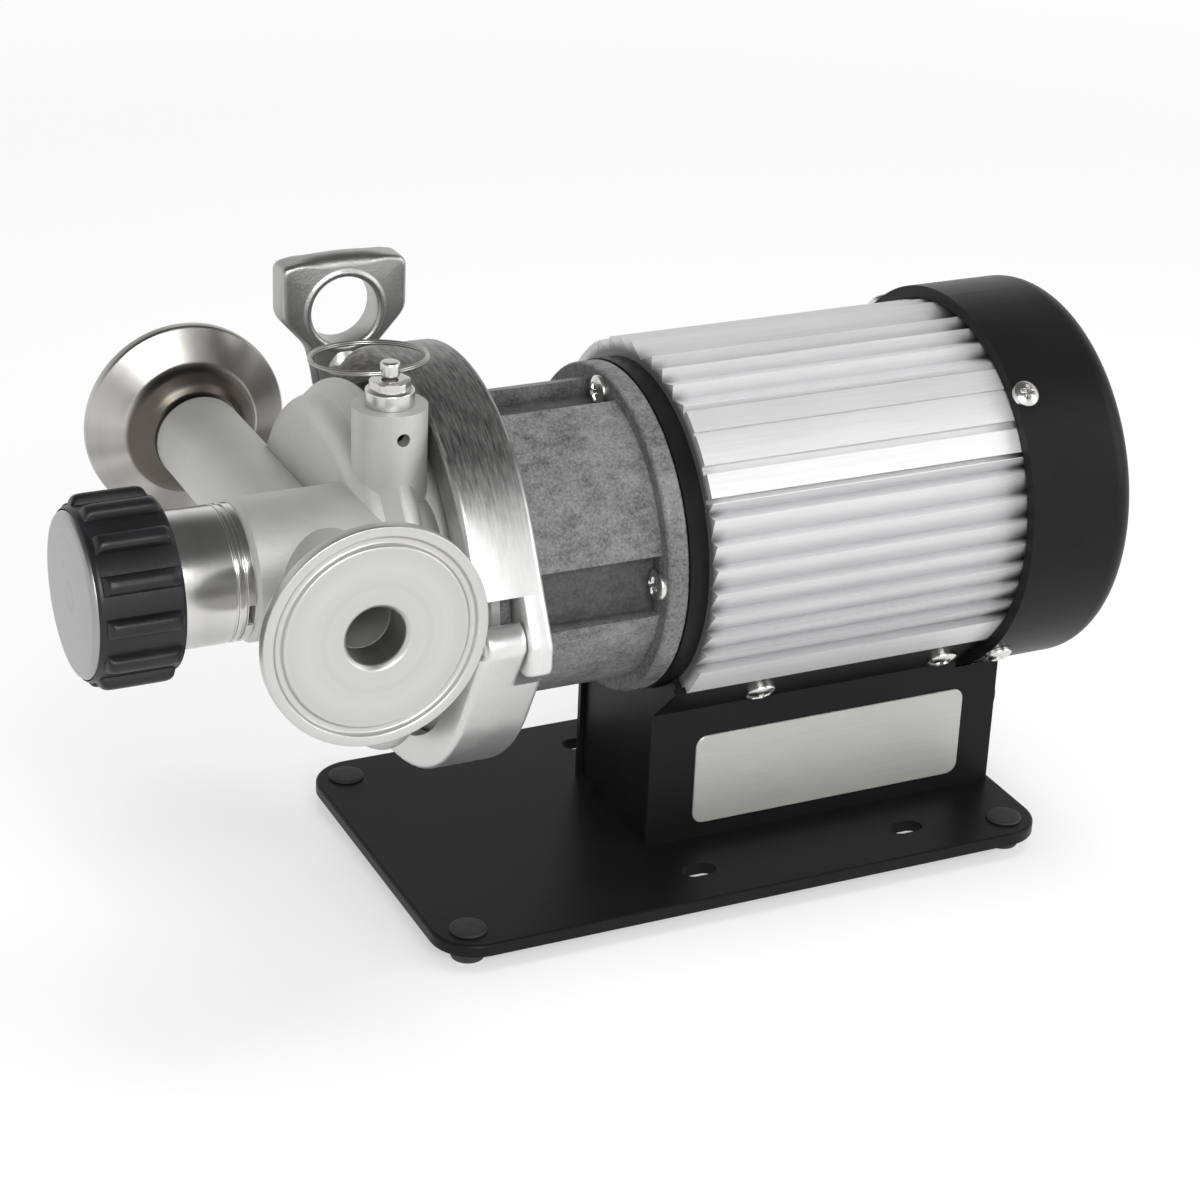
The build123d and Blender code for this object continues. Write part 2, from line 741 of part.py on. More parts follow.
with BuildPart() as thrust_washers:
    with BuildSketch(lengthwise):
        ring(bushing_front - 1.6, bushing_front - face_gap, ceramic_radius + slip, ceramic_radius + 2.4)
        ring(bushing_back + face_gap, can_socket, ceramic_radius + slip, ceramic_radius + 2.4)
    revolve(axis=motor_axis)
finish(thrust_washers, "thrust_washers")

# Impeller: back plate with curved vanes, driven magnet and carbon bushing behind it
bushing_radius = ceramic_radius + 2.8
driven_radius = can_radius - can_wall - magnet_gap
plate_front = head_joint - 3.5
plate_back = head_joint - 1.0
driven_end = magnet_start + magnet_length - 3.0
vane_front = chamber_front + 1.5
with BuildPart() as impeller:
    with BuildSketch(lengthwise):
        ring(plate_front, plate_back, bushing_radius + slip, impeller_radius)
        ring(bushing_front, magnet_start, bushing_radius + slip, bushing_radius + 3.0)
    revolve(axis=motor_axis)
    with BuildSketch(across(vane_front)):
        for index in range(impeller_vanes):
            with Locations(Location((0, 0, 0), index * 360 / impeller_vanes)):
                with BuildLine():
                    outer = ThreePointArc((bushing_radius + 2.0, 0), (20.0, 7.0), (impeller_radius - 1.0, 2.0))
                    inner = ThreePointArc((impeller_radius - 1.0, 2.0), (20.0, 4.6), (bushing_radius + 2.0, 0))
                make_face()
    extrude(amount=plate_front - vane_front)
finish(impeller, "impeller")

with BuildPart() as driven_magnet:
    with BuildSketch(lengthwise):
        ring(magnet_start + face_gap, driven_end, bushing_radius + slip, driven_radius)
    revolve(axis=motor_axis)
    fillet(driven_magnet.edges().filter_by(GeomType.CIRCLE), radius=0.6)
finish(driven_magnet, "driven_magnet")

with BuildPart() as impeller_bushing:
    with BuildSketch(lengthwise):
        ring(bushing_front, bushing_back, ceramic_radius + slip, bushing_radius)
    revolve(axis=motor_axis)
finish(impeller_bushing, "impeller_bushing")

# Pump head casting
valve_height = axis_height + valve_rise
inlet_height = axis_height + inlet_rise
volute_front = head_joint - volute_depth
volute_back = head_joint - volute_neck
head_cone = (clamp_flange_radius - volute_neck_radius) * flange_slope
ferrule_split = 14.0
outlet_split = 10.0
vent_place = (vent_x, vent_y)


def sideways(y, x, z):
    # Plane facing +Y through a point: local x is +X, local y is -Z
    return Plane(origin=(x, y, z), x_dir=(1, 0, 0), z_dir=(0, 1, 0))


with BuildPart() as pump_head:
    with BuildSketch(lengthwise):
        with BuildLine():
            front = Line((volute_front, 0), (volute_front, volute_front_radius - volute_edge))
            brow = RadiusArc(front @ 1, (volute_front + volute_edge, volute_front_radius), volute_edge)
            flank = Line(brow @ 1, (volute_back - 4.5, volute_radius - 0.6))
            shoulder = ThreePointArc(flank @ 1, (volute_back - 1.0, volute_radius - 0.9), (volute_back, volute_radius - 3.0))
            Polyline(shoulder @ 1, (volute_back, volute_neck_radius),
                     (head_joint - clamp_flange_rim - head_cone, volute_neck_radius),
                     (head_joint - clamp_flange_rim, clamp_flange_radius), (head_joint, clamp_flange_radius),
                     (head_joint, 0), (volute_front, 0))
        make_face()
    revolve(axis=motor_axis)
    with BuildSketch(Plane(origin=(0, valve_y, valve_height), x_dir=(1, 0, 0), z_dir=(0, -1, 0))):
        with BuildLine():
            side = Line((valve_body_start, valve_body_radius), (valve_body_end - valve_dome, valve_body_radius))
            dome = RadiusArc(side @ 1, (valve_body_end, valve_body_radius - valve_dome), valve_dome)
            Polyline(dome @ 1, (valve_body_end, 0), (valve_body_start, 0), side @ 0)
        make_face()
    revolve(axis=Axis((0, valve_y, valve_height), (1, 0, 0)))
    with BuildSketch(sideways(valve_y + 13.0, inlet_x, inlet_height)):
        Circle(inlet_tube_radius)
    extrude(amount=inlet_face - ferrule_split - valve_y - 13.0)
    with BuildSketch(sideways(valve_y, outlet_x, valve_height)):
        Circle(outlet_neck_radius)
    extrude(amount=outlet_face + outlet_split - valve_y)
    with BuildSketch(Plane.XY.offset(valve_height)):
        with Locations(vent_place):
            Circle(vent_boss_radius)
    extrude(amount=vent_boss_top - valve_rise)
    with BuildSketch(Plane(origin=(vent_x, vent_y, axis_height), x_dir=(-0.62, 0.785, 0), z_dir=(0.785, 0.62, 0))):
        Polygon((0, 20.0), (0, gusset_top), (vent_boss_radius, gusset_top), (gusset_reach, 24.0), (gusset_reach, 20.0))
    extrude(amount=gusset_thick / 2, both=True)
    with Locations((inlet_x + 3.0, 3.0, axis_height + 3.0)):
        Cylinder(13.0, 14.0, rotation=(0, 90, 0))
    chamfer(pump_head.edges().filter_by(GeomType.CIRCLE).sort_by(Axis.X)[:1], length=1.2)
    with BuildSketch(lengthwise):
        ring(chamber_front, head_joint + 1.0, 0, chamber_radius)
        ring(head_joint - gasket_depth, head_joint + 1.0,
             gasket_radius - gasket_width / 2, gasket_radius + gasket_width / 2)
    revolve(axis=motor_axis, mode=Mode.SUBTRACT)
    with BuildSketch(Plane(origin=(valve_body_start, valve_y, valve_height), x_dir=(0, 1, 0), z_dir=(1, 0, 0))):
        Circle(bonnet_spigot_radius + slip)
    extrude(amount=bonnet_spigot_length, mode=Mode.SUBTRACT)
    with BuildSketch(Plane(origin=(valve_body_start, valve_y, valve_height), x_dir=(0, 1, 0), z_dir=(1, 0, 0))):
        Circle(valve_chamber_radius)
    extrude(amount=valve_seat_x - valve_body_start, mode=Mode.SUBTRACT)
    with BuildSketch(Plane(origin=(valve_seat_x, valve_y, valve_height), x_dir=(0, 1, 0), z_dir=(1, 0, 0))):
        Circle(valve_seat_radius)
    extrude(amount=valve_seat_thick, mode=Mode.SUBTRACT)
    with BuildSketch(Plane(origin=(valve_seat_x + valve_seat_thick, valve_y, valve_height),
                           x_dir=(0, 1, 0), z_dir=(1, 0, 0))):
        Circle(valve_chamber_radius - 1.0)
    extrude(amount=12.0, mode=Mode.SUBTRACT)
    with BuildSketch(sideways(-1.0, inlet_x, inlet_height)):
        Circle(inlet_bore_radius)
    extrude(amount=inlet_face, mode=Mode.SUBTRACT)
    with BuildSketch(sideways(valve_y, outlet_x, valve_height)):
        Circle(outlet_bore_radius)
    extrude(amount=outlet_face - valve_y, mode=Mode.SUBTRACT)
    with BuildSketch(sideways(valve_y, outlet_x, valve_height)):
        Circle(outlet_bore_radius + outlet_pocket)
    extrude(amount=-valve_chamber_radius - outlet_pocket, mode=Mode.SUBTRACT)
    with Locations((inlet_x + 3.0, 3.0, axis_height + 5.0)):
        Sphere(9.0, mode=Mode.SUBTRACT)
    with BuildSketch(across(inlet_x + 3.0)):
        Circle(8.5)
    extrude(amount=chamber_front - inlet_x, mode=Mode.SUBTRACT)
    with BuildSketch(Plane.XY.offset(valve_height)):
        with Locations(vent_place):
            Circle(2.2)
    extrude(amount=vent_floor, mode=Mode.SUBTRACT)
    with BuildSketch(Plane.XY.offset(axis_height + vent_floor)):
        with Locations(vent_place):
            Circle(vent_bore_radius + slip)
    extrude(amount=vent_boss_top - vent_floor, mode=Mode.SUBTRACT)
    with BuildSketch(sideways(vent_y, vent_x, axis_height + vent_hole_height)):
        Circle(vent_hole_radius)
    extrude(amount=-vent_boss_radius - 1.0, mode=Mode.SUBTRACT)
finish(pump_head, "pump_head")

# Ferrules: 1.5 inch sanitary ends, rim with a gasket groove, cone behind the rim
groove_radius = 21.8
with BuildPart() as inlet_ferrule:
    with BuildSketch(Plane(origin=(inlet_x, 0, inlet_height), x_dir=(0, 1, 0), z_dir=(1, 0, 0))):
        Polygon((inlet_face - ferrule_split, inlet_bore_radius), (inlet_face, inlet_bore_radius),
                (inlet_face, ferrule_radius), (inlet_face - ferrule_rim, ferrule_radius),
                (inlet_face - ferrule_rim - inlet_cone_length, inlet_tube_radius),
                (inlet_face - ferrule_split, inlet_tube_radius))
        with Locations((inlet_face, groove_radius)):
            Circle(1.1, mode=Mode.SUBTRACT)
    revolve(axis=Axis((inlet_x, 0, inlet_height), (0, 1, 0)))
finish(inlet_ferrule, "inlet_ferrule")

with BuildPart() as outlet_ferrule:
    with BuildSketch(Plane(origin=(outlet_x, 0, valve_height), x_dir=(0, 1, 0), z_dir=(1, 0, 0))):
        Polygon((outlet_face + outlet_split, outlet_bore_radius), (outlet_face + 1.0, outlet_bore_radius),
                (outlet_face, outlet_bore_radius + 1.0),
                (outlet_face, ferrule_radius), (outlet_face + ferrule_rim, ferrule_radius),
                (outlet_face + ferrule_rim + outlet_cone_length, outlet_neck_radius),
                (outlet_face + outlet_split, outlet_neck_radius))
        with Locations((outlet_face, groove_radius)):
            Circle(1.1, mode=Mode.SUBTRACT)
    revolve(axis=Axis((outlet_x, 0, valve_height), (0, 1, 0)))
finish(outlet_ferrule, "outlet_ferrule")

# Valve: bonnet screwed into the body, plunger in the chamber, stem and knob
valve_line = Plane(origin=(0, valve_y, valve_height), x_dir=(1, 0, 0), z_dir=(0, -1, 0))
valve_axis = Axis((0, valve_y, valve_height), (1, 0, 0))
spigot_end = valve_body_start + bonnet_spigot_length
bonnet_end = valve_body_start - bonnet_length
knob_start = valve_body_start - bonnet_show
knob_end = knob_start - knob_length
plunger_front = valve_seat_x - 3.0
plunger_back = plunger_front - 11.0
stem_tip = plunger_back + 6.0
bonnet_floor = plunger_back - valve_lift - 1.0
with BuildPart() as valve_bonnet:
    with BuildSketch(valve_line):
        Polygon((bonnet_end, 0), (bonnet_end, bonnet_radius), (valve_body_start - 2.6, bonnet_radius),
                (valve_body_start - 2.6, bonnet_radius - 0.7), (valve_body_start - 1.8, bonnet_radius - 0.7),
                (valve_body_start - 1.8, bonnet_radius), (valve_body_start, bonnet_radius),
                (valve_body_start, bonnet_spigot_radius), (spigot_end, bonnet_spigot_radius),
                (spigot_end, 0))
        ring(bonnet_floor, spigot_end, 0, valve_chamber_radius, Mode.SUBTRACT)
        ring(bonnet_end, bonnet_floor, 0, stem_radius + slip, Mode.SUBTRACT)
        ring(bonnet_end, bonnet_end + 4.0, 0, stem_radius + 2.0, Mode.SUBTRACT)
    revolve(axis=valve_axis)
    with Locations((valve_body_start - 0.9, valve_y - bonnet_radius, valve_height - 2.0)):
        Box(1.8, 3.0, 5.0, mode=Mode.SUBTRACT)
finish(valve_bonnet, "valve_bonnet")

with BuildPart() as bonnet_seal:
    with BuildSketch(valve_line):
        ring(bonnet_end, bonnet_end + 4.0, stem_radius + slip, stem_radius + 2.0 - slip)
    revolve(axis=valve_axis)
finish(bonnet_seal, "bonnet_seal")

with BuildPart() as valve_plunger:
    with BuildSketch(valve_line):
        Polygon((plunger_back, 0), (plunger_back, valve_chamber_radius - slip),
                (plunger_front, valve_chamber_radius - slip), (plunger_front, valve_seat_radius + 0.6),
                (valve_seat_x - face_gap, valve_seat_radius + 0.6), (valve_seat_x - face_gap, valve_seat_radius - 0.5),
                (valve_seat_x + 2.0, valve_seat_radius - 1.5), (valve_seat_x + 2.0, 0))
        ring(plunger_back, stem_tip - 2.6, 0, 2.5 + slip, Mode.SUBTRACT)
        ring(stem_tip - 2.6, stem_tip + face_gap, 0, 3.4 + slip, Mode.SUBTRACT)
        ring(plunger_back + 7.0, plunger_back + 9.4, valve_chamber_radius - 1.6, valve_chamber_radius, Mode.SUBTRACT)
    revolve(axis=valve_axis)
finish(valve_plunger, "valve_plunger")

with BuildPart() as plunger_seal:
    with BuildSketch(valve_line):
        ring(plunger_back + 7.0, plunger_back + 9.4, valve_chamber_radius - 1.6, valve_chamber_radius - slip)
    revolve(axis=valve_axis)
finish(plunger_seal, "plunger_seal")

with BuildPart() as valve_stem:
    with BuildSketch(valve_line):
        ring(knob_end + knob_cap_thick + 2.0, plunger_back - 0.4, 0, stem_radius)
        ring(plunger_back - 0.4, stem_tip - 2.6, 0, 2.5)
        ring(stem_tip - 2.5, stem_tip, 0, 3.4)
        ring(stem_tip - 2.7, stem_tip - 2.5, 0, 2.5)
    revolve(axis=valve_axis)
finish(valve_stem, "valve_stem")

with BuildPart() as knob_grip:
    with BuildSketch(Plane(origin=(knob_start, valve_y, valve_height), x_dir=(0, 1, 0), z_dir=(-1, 0, 0))):
        Circle(knob_radius)
        with PolarLocations(knob_radius - 0.6, knob_ribs):
            Circle(knob_rib_radius)
    extrude(amount=knob_length)
    chamfer(knob_grip.faces().sort_by(Axis.X)[0].edges(), length=0.8)
    with BuildSketch(valve_line):
        ring(knob_start - knob_skirt, knob_start + 1.0, 0, bonnet_radius + 0.5)
        ring(knob_end - 1.0, knob_end + knob_cap_thick, 0, knob_cap_radius + slip)
        ring(knob_end, knob_start, 0, stem_radius + slip)
    revolve(axis=valve_axis, mode=Mode.SUBTRACT)
finish(knob_grip, "knob_grip")

with BuildPart() as knob_cap:
    with BuildSketch(valve_line):
        ring(knob_end - 1.2, knob_end + knob_cap_thick, 0, knob_cap_radius)
    revolve(axis=valve_axis)
    fillet(knob_cap.edges().filter_by(GeomType.CIRCLE).sort_by(Axis.X)[:1], radius=1.6)
    with BuildSketch(valve_line):
        ring(knob_end + 1.5, knob_end + knob_cap_thick, 0, stem_radius + slip)
    revolve(axis=valve_axis, mode=Mode.SUBTRACT)
finish(knob_cap, "knob_cap")

# Air vent: cap screwed into the boss, spring-loaded pin, pull ring through the pin's eye
vent_line = Plane(origin=(vent_x, vent_y, axis_height), x_dir=(1, 0, 0), z_dir=(0, -1, 0))
vent_axis = Axis((vent_x, vent_y, 0), (0, 0, 1))
pin_stem_radius = 1.8
pin_disc_radius = 4.4
pin_head_radius = 2.8
vent_lift = 3.0
pin_disc_top = vent_floor + 2.6
cap_skirt = pin_disc_top + vent_lift + 3.5
with BuildPart() as vent_cap:
    with BuildSketch(vent_line):
        Polygon((pin_stem_radius + slip, cap_skirt), (vent_bore_radius, cap_skirt),
                (vent_bore_radius, vent_boss_top), (vent_cap_flange_radius, vent_boss_top),
                (vent_cap_flange_radius, vent_boss_top + 1.4), (vent_cap_radius, vent_boss_top + 1.8),
                (vent_cap_radius, vent_cap_top - 1.0), (vent_cap_radius - 1.2, vent_cap_top),
                (pin_stem_radius + slip, vent_cap_top))
    revolve(axis=vent_axis)
finish(vent_cap, "vent_cap")

with BuildPart() as vent_pin:
    with BuildSketch(vent_line):
        Polygon((0, vent_floor + face_gap), (pin_disc_radius, vent_floor + face_gap), (pin_disc_radius, pin_disc_top),
                (pin_stem_radius, pin_disc_top), (pin_stem_radius, vent_cap_top + 0.2),
                (pin_head_radius, vent_cap_top + 0.2), (pin_head_radius, vent_pin_top - 1.0),
                (pin_head_radius - 1.2, vent_pin_top), (0, vent_pin_top))
    revolve(axis=vent_axis)
    with Locations((vent_x, vent_y, axis_height + vent_eye_height)):
        Cylinder(vent_eye_radius, 3 * pin_head_radius, rotation=(0, 90, 0), mode=Mode.SUBTRACT)
finish(vent_pin, "vent_pin")

# Compression spring around the pin, from its disc up to the cap's skirt
spring_wire = 0.45
spring_radius = 3.0
spring_bottom = axis_height + pin_disc_top + spring_wire
spring_height = cap_skirt - pin_disc_top - 2 * spring_wire
with BuildPart() as vent_spring:
    with BuildLine():
        coil = Helix(pitch=spring_height / 4, height=spring_height, radius=spring_radius,
                     center=(vent_x, vent_y, spring_bottom))
    with BuildSketch(Plane(origin=coil @ 0, z_dir=coil % 0)):
        RegularPolygon(spring_wire, 8)
    sweep()
finish(vent_spring, "vent_spring")

ring_down = (0, cos(radians(vent_ring_tilt)), -sin(radians(vent_ring_tilt)))
ring_centre = (vent_x, vent_y + vent_ring_radius * ring_down[1],
               axis_height + vent_eye_height + vent_ring_radius * ring_down[2])
ring_plane = Plane(origin=ring_centre, x_dir=(1, 0, 0), z_dir=(0, -ring_down[2], ring_down[1]))
with BuildPart() as vent_ring:
    with Locations(ring_plane):
        Torus(vent_ring_radius, 2 * vent_wire_radius)
finish(vent_ring, "vent_ring")

# Clamp: two channel-section halves, half-lap hinge on one side, swing bolt on the other
lap_x = head_joint + 2.1
lap_gap = 0.4
lap_end = -6.6
lap_shoulder = -10.5
knuckle_top = 5.4
notch_top = 10.2
groove_bottom = clamp_flange_radius + 0.5
flange_half = clamp_flange_rim + face_gap
lip_half = flange_half + (clamp_flange_radius - clamp_lip_radius) * flange_slope + 0.2
half_width = clamp_width / 2
edge_third = 0.29 * clamp_edge
channel_points = [(-half_width, clamp_lip_radius), (-half_width, clamp_outer_radius - clamp_edge),
                  (-half_width + edge_third, clamp_outer_radius - edge_third),
                  (-half_width + clamp_edge, clamp_outer_radius), (half_width - clamp_edge, clamp_outer_radius),
                  (half_width - edge_third, clamp_outer_radius - edge_third),
                  (half_width, clamp_outer_radius - clamp_edge), (half_width, clamp_lip_radius),
                  (lip_half + 0.1, clamp_lip_radius), (flange_half + 0.2, groove_bottom),
                  (-flange_half - 0.2, groove_bottom), (-lip_half - 0.1, clamp_lip_radius)]
clamp_section = [(head_joint + x, r) for x, r in channel_points]
level = Plane(origin=(0, 0, axis_height), x_dir=(1, 0, 0), z_dir=(0, 0, 1))
hinge_y = -hinge_offset
band_inside = groove_bottom + 1.2
ear_half = ear_width / 2
ear_slot = bolt_radius + 0.3
ear_bottom = clamp_split
pivot_z = -bolt_pivot_drop
ear_reach = bolt_offset + 6.0

with BuildPart() as clamp_upper:
    with BuildSketch(level):
        Polygon(*clamp_section)
    revolve(axis=motor_axis, revolution_arc=180)
    with BuildSketch(across(head_joint - half_width)):
        Rectangle(2 * clamp_outer_radius + 8, 2 * clamp_split)
    extrude(amount=clamp_width, mode=Mode.SUBTRACT)
    with BuildSketch(across(lap_x + lap_gap)):
        with Locations((hinge_y, hinge_rise)):
            Circle(hinge_lug_radius)
        Polygon((hinge_y - hinge_lug_radius, hinge_rise), (-band_inside, lap_end), (-band_inside, notch_top + 3.0),
                (-clamp_outer_radius + 2.0, notch_top + 8.0), (hinge_y - hinge_lug_radius + 1.2, hinge_rise + 5.0))
    extrude(amount=head_joint + half_width - lap_x - lap_gap)
    with BuildSketch(across(head_joint - half_width)):
        Polygon((-clamp_outer_radius - 12.0, lap_shoulder), (-clamp_lip_radius + 6.0, lap_shoulder),
                (-clamp_lip_radius + 6.0, notch_top), (-clamp_outer_radius - 12.0, notch_top))
    extrude(amount=half_width + 2.1 + lap_gap, mode=Mode.SUBTRACT)
    with BuildSketch(across(head_joint - half_width)):
        with Locations((hinge_y, hinge_rise)):
            Circle(hinge_pin_radius + slip)
    extrude(amount=clamp_width, mode=Mode.SUBTRACT)
    with BuildSketch(across(head_joint - ear_half)):
        Polygon((band_inside, ear_bottom), (ear_reach, ear_bottom),
                (ear_reach, pivot_z + ear_top_radius + 2.0), (band_inside - 2.0, pivot_z + ear_top_radius - 2.0))
    extrude(amount=ear_width)
    with BuildSketch(across(head_joint - ear_half)):
        with Locations((bolt_offset, pivot_z)):
            Circle(ear_top_radius + 14.0)
            Circle(ear_top_radius, mode=Mode.SUBTRACT)
        Polygon((0, -60), (clamp_outer_radius - 0.7, -60), (clamp_outer_radius - 0.7, 60), (0, 60), mode=Mode.SUBTRACT)
    extrude(amount=ear_width, mode=Mode.SUBTRACT)
    with BuildSketch(Plane.XY.offset(axis_height)):
        with Locations((head_joint, bolt_offset)):
            Circle(ear_slot)
        Polygon((head_joint - ear_slot, bolt_offset), (head_joint + ear_slot, bolt_offset),
                (head_joint + ear_slot, ear_reach + 5.0), (head_joint - ear_slot, ear_reach + 5.0))
    extrude(amount=ear_top_radius, mode=Mode.SUBTRACT)
finish(clamp_upper, "clamp_upper")

with BuildPart() as clamp_lower:
    with BuildSketch(level):
        Polygon(*clamp_section)
    revolve(axis=motor_axis, revolution_arc=-180)
    with BuildSketch(across(head_joint - half_width)):
        Rectangle(2 * clamp_outer_radius + 8, 2 * clamp_split)
    extrude(amount=clamp_width, mode=Mode.SUBTRACT)
    with BuildSketch(across(head_joint - half_width + 0.8)):
        with Locations((hinge_y, hinge_rise)):
            Circle(hinge_lug_radius)
        Polygon((hinge_y - hinge_lug_radius, hinge_rise), (hinge_y - hinge_lug_radius + 0.8, -6.0),
                (-clamp_outer_radius + 1.0, -15.0), (-band_inside, -12.0), (-band_inside, knuckle_top - 1.5))
    extrude(amount=half_width - 0.8 + 2.1)
    with BuildSketch(across(lap_x)):
        Polygon((-clamp_outer_radius - 12.0, lap_shoulder), (-clamp_lip_radius + 6.0, lap_shoulder),
                (-clamp_lip_radius + 6.0, notch_top), (-clamp_outer_radius - 12.0, notch_top))
    extrude(amount=clamp_width, mode=Mode.SUBTRACT)
    with BuildSketch(across(head_joint - half_width)):
        with Locations((hinge_y, hinge_rise)):
            Circle(hinge_pin_radius + slip / 2)
    extrude(amount=clamp_width, mode=Mode.SUBTRACT)
    with BuildSketch(across(head_joint - ear_half)):
        with Locations((bolt_offset, pivot_z)):
            Circle(bolt_eye_radius)
        Polygon((band_inside, -clamp_split - 1.0), (bolt_offset, pivot_z + bolt_eye_radius),
                (bolt_offset, pivot_z - bolt_eye_radius), (band_inside - 1.5, pivot_z - bolt_eye_radius - 2.0))
    extrude(amount=ear_width)
    with BuildSketch(across(head_joint - ear_slot)):
        Polygon((clamp_outer_radius - 0.6, 2.0), (bolt_offset + 8.0, 2.0),
                (bolt_offset + 8.0, pivot_z - 8.0), (clamp_outer_radius - 0.6, pivot_z - 8.0))
    extrude(amount=2 * ear_slot, mode=Mode.SUBTRACT)
    with BuildSketch(across(head_joint - ear_half)):
        with Locations((bolt_offset, pivot_z)):
            Circle(hinge_pin_radius + slip / 2)
    extrude(amount=ear_width, mode=Mode.SUBTRACT)
finish(clamp_lower, "clamp_lower")

with BuildPart() as hinge_pin:
    with BuildSketch(across(head_joint - half_width + 0.8)):
        with Locations((hinge_y, hinge_rise)):
            Circle(hinge_pin_radius)
    extrude(amount=clamp_width - 1.6)
    chamfer(hinge_pin.edges().filter_by(GeomType.CIRCLE), length=0.3)
finish(hinge_pin, "hinge_pin")

with BuildPart() as bolt_pin:
    with BuildSketch(across(head_joint - ear_half)):
        with Locations((bolt_offset, pivot_z)):
            Circle(hinge_pin_radius)
    extrude(amount=ear_width)
    chamfer(bolt_pin.edges().filter_by(GeomType.CIRCLE), length=0.3)
finish(bolt_pin, "bolt_pin")

# Swing bolt with its eye on the pin, washer, wing nut
eye_half = bolt_radius - 0.2
with BuildPart() as swing_bolt:
    with BuildSketch(across(head_joint - eye_half)):
        with Locations((bolt_offset, pivot_z)):
            Circle(bolt_eye_radius)
    extrude(amount=2 * eye_half)
    with BuildSketch(Plane.XY.offset(axis_height + pivot_z)):
        with Locations((head_joint, bolt_offset)):
            Circle(bolt_radius)
    extrude(amount=bolt_top + bolt_pivot_drop)
    chamfer(swing_bolt.faces().sort_by(Axis.Z)[-1].edges(), length=0.6)
    with BuildSketch(across(head_joint - bolt_radius)):
        with Locations((bolt_offset, pivot_z)):
            Circle(hinge_pin_radius + slip)
    extrude(amount=2 * bolt_radius, mode=Mode.SUBTRACT)
finish(swing_bolt, "swing_bolt")

washer_base = pivot_z + ear_top_radius + face_gap
nut_base = washer_base + washer_thick + face_gap
with BuildPart() as nut_washer:
    with BuildSketch(Plane.XY.offset(axis_height + washer_base)):
        with Locations((head_joint, bolt_offset)):
            Circle(washer_radius)
            Circle(bolt_radius + slip, mode=Mode.SUBTRACT)
    extrude(amount=washer_thick)
finish(nut_washer, "nut_washer")

nut_bore_top = bolt_top + 1.5
bolt_line = Axis((head_joint, bolt_offset, 0), (0, 0, 1))
nut_front = Plane(origin=(head_joint, bolt_offset, axis_height), x_dir=(1, 0, 0), z_dir=(0, -1, 0))
with BuildPart() as wing_nut:
    with BuildSketch(nut_front):
        with BuildLine():
            crown = ThreePointArc((-nut_half_width, nut_crown - nut_sag), (0, nut_crown),
                                  (nut_half_width, nut_crown - nut_sag))
            right = Line(crown @ 1, (nut_half_width - 1.2, nut_shoulder))
            right_brow = ThreePointArc(right @ 1, (nut_half_width - 2.3, nut_shoulder - 2.2), (11.6, nut_shoulder - 3.6))
            right_neck = ThreePointArc(right_brow @ 1, (8.2, nut_shoulder - 6.2), (6.6, nut_foot))
            foot = Line(right_neck @ 1, (-6.6, nut_foot))
            left_neck = ThreePointArc(foot @ 1, (-8.2, nut_shoulder - 6.2), (-11.6, nut_shoulder - 3.6))
            left_brow = ThreePointArc(left_neck @ 1, (-nut_half_width + 2.3, nut_shoulder - 2.2),
                                      (-nut_half_width + 1.2, nut_shoulder))
            left = Line(left_brow @ 1, crown @ 0)
        make_face()
        with Locations((0, nut_hole_height)):
            Circle(nut_hole_radius, mode=Mode.SUBTRACT)
    extrude(amount=nut_plate_thick / 2, both=True)
    with BuildSketch(nut_front):
        Polygon((0, nut_base), (nut_base_radius, nut_base), (nut_base_radius, nut_base + 3.0),
                (nut_neck_radius, nut_base + 6.0), (nut_neck_radius, 24.0), (6.2, nut_foot + 1.0), (0, nut_foot + 1.0))
    revolve(axis=bolt_line)
    with BuildSketch(nut_front):
        Polygon((0, nut_base - 1.0), (bolt_radius + slip, nut_base - 1.0), (bolt_radius + slip, nut_bore_top),
                (0, nut_bore_top))
    revolve(axis=bolt_line, mode=Mode.SUBTRACT)
finish(wing_nut, "wing_nut")
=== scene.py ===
import json
import math

import bmesh
import bpy
import numpy as np
from mathutils import Matrix, Vector


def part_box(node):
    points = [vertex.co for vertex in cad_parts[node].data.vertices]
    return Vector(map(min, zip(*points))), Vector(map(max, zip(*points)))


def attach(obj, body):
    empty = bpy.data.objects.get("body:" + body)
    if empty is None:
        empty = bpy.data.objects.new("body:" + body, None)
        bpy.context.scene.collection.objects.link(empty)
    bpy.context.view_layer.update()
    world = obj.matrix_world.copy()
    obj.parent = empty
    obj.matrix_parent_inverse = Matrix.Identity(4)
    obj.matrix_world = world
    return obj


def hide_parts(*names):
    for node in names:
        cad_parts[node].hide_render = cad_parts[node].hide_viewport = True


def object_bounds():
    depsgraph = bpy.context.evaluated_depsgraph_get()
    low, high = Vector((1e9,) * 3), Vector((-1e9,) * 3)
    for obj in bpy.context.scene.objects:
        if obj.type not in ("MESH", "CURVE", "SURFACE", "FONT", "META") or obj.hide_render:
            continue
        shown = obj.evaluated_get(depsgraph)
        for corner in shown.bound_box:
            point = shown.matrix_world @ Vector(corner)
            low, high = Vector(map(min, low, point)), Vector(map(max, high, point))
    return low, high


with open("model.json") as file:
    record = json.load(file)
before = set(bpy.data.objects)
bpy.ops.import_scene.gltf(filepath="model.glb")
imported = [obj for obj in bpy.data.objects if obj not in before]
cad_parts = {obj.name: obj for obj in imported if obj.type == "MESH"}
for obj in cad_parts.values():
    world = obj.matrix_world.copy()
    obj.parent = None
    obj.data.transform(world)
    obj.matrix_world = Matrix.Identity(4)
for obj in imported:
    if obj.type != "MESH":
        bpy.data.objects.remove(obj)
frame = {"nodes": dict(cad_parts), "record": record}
cad_low, cad_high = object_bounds()

# Places in millimetres, in which every surface is worked out; the frame and the finishes are in metres

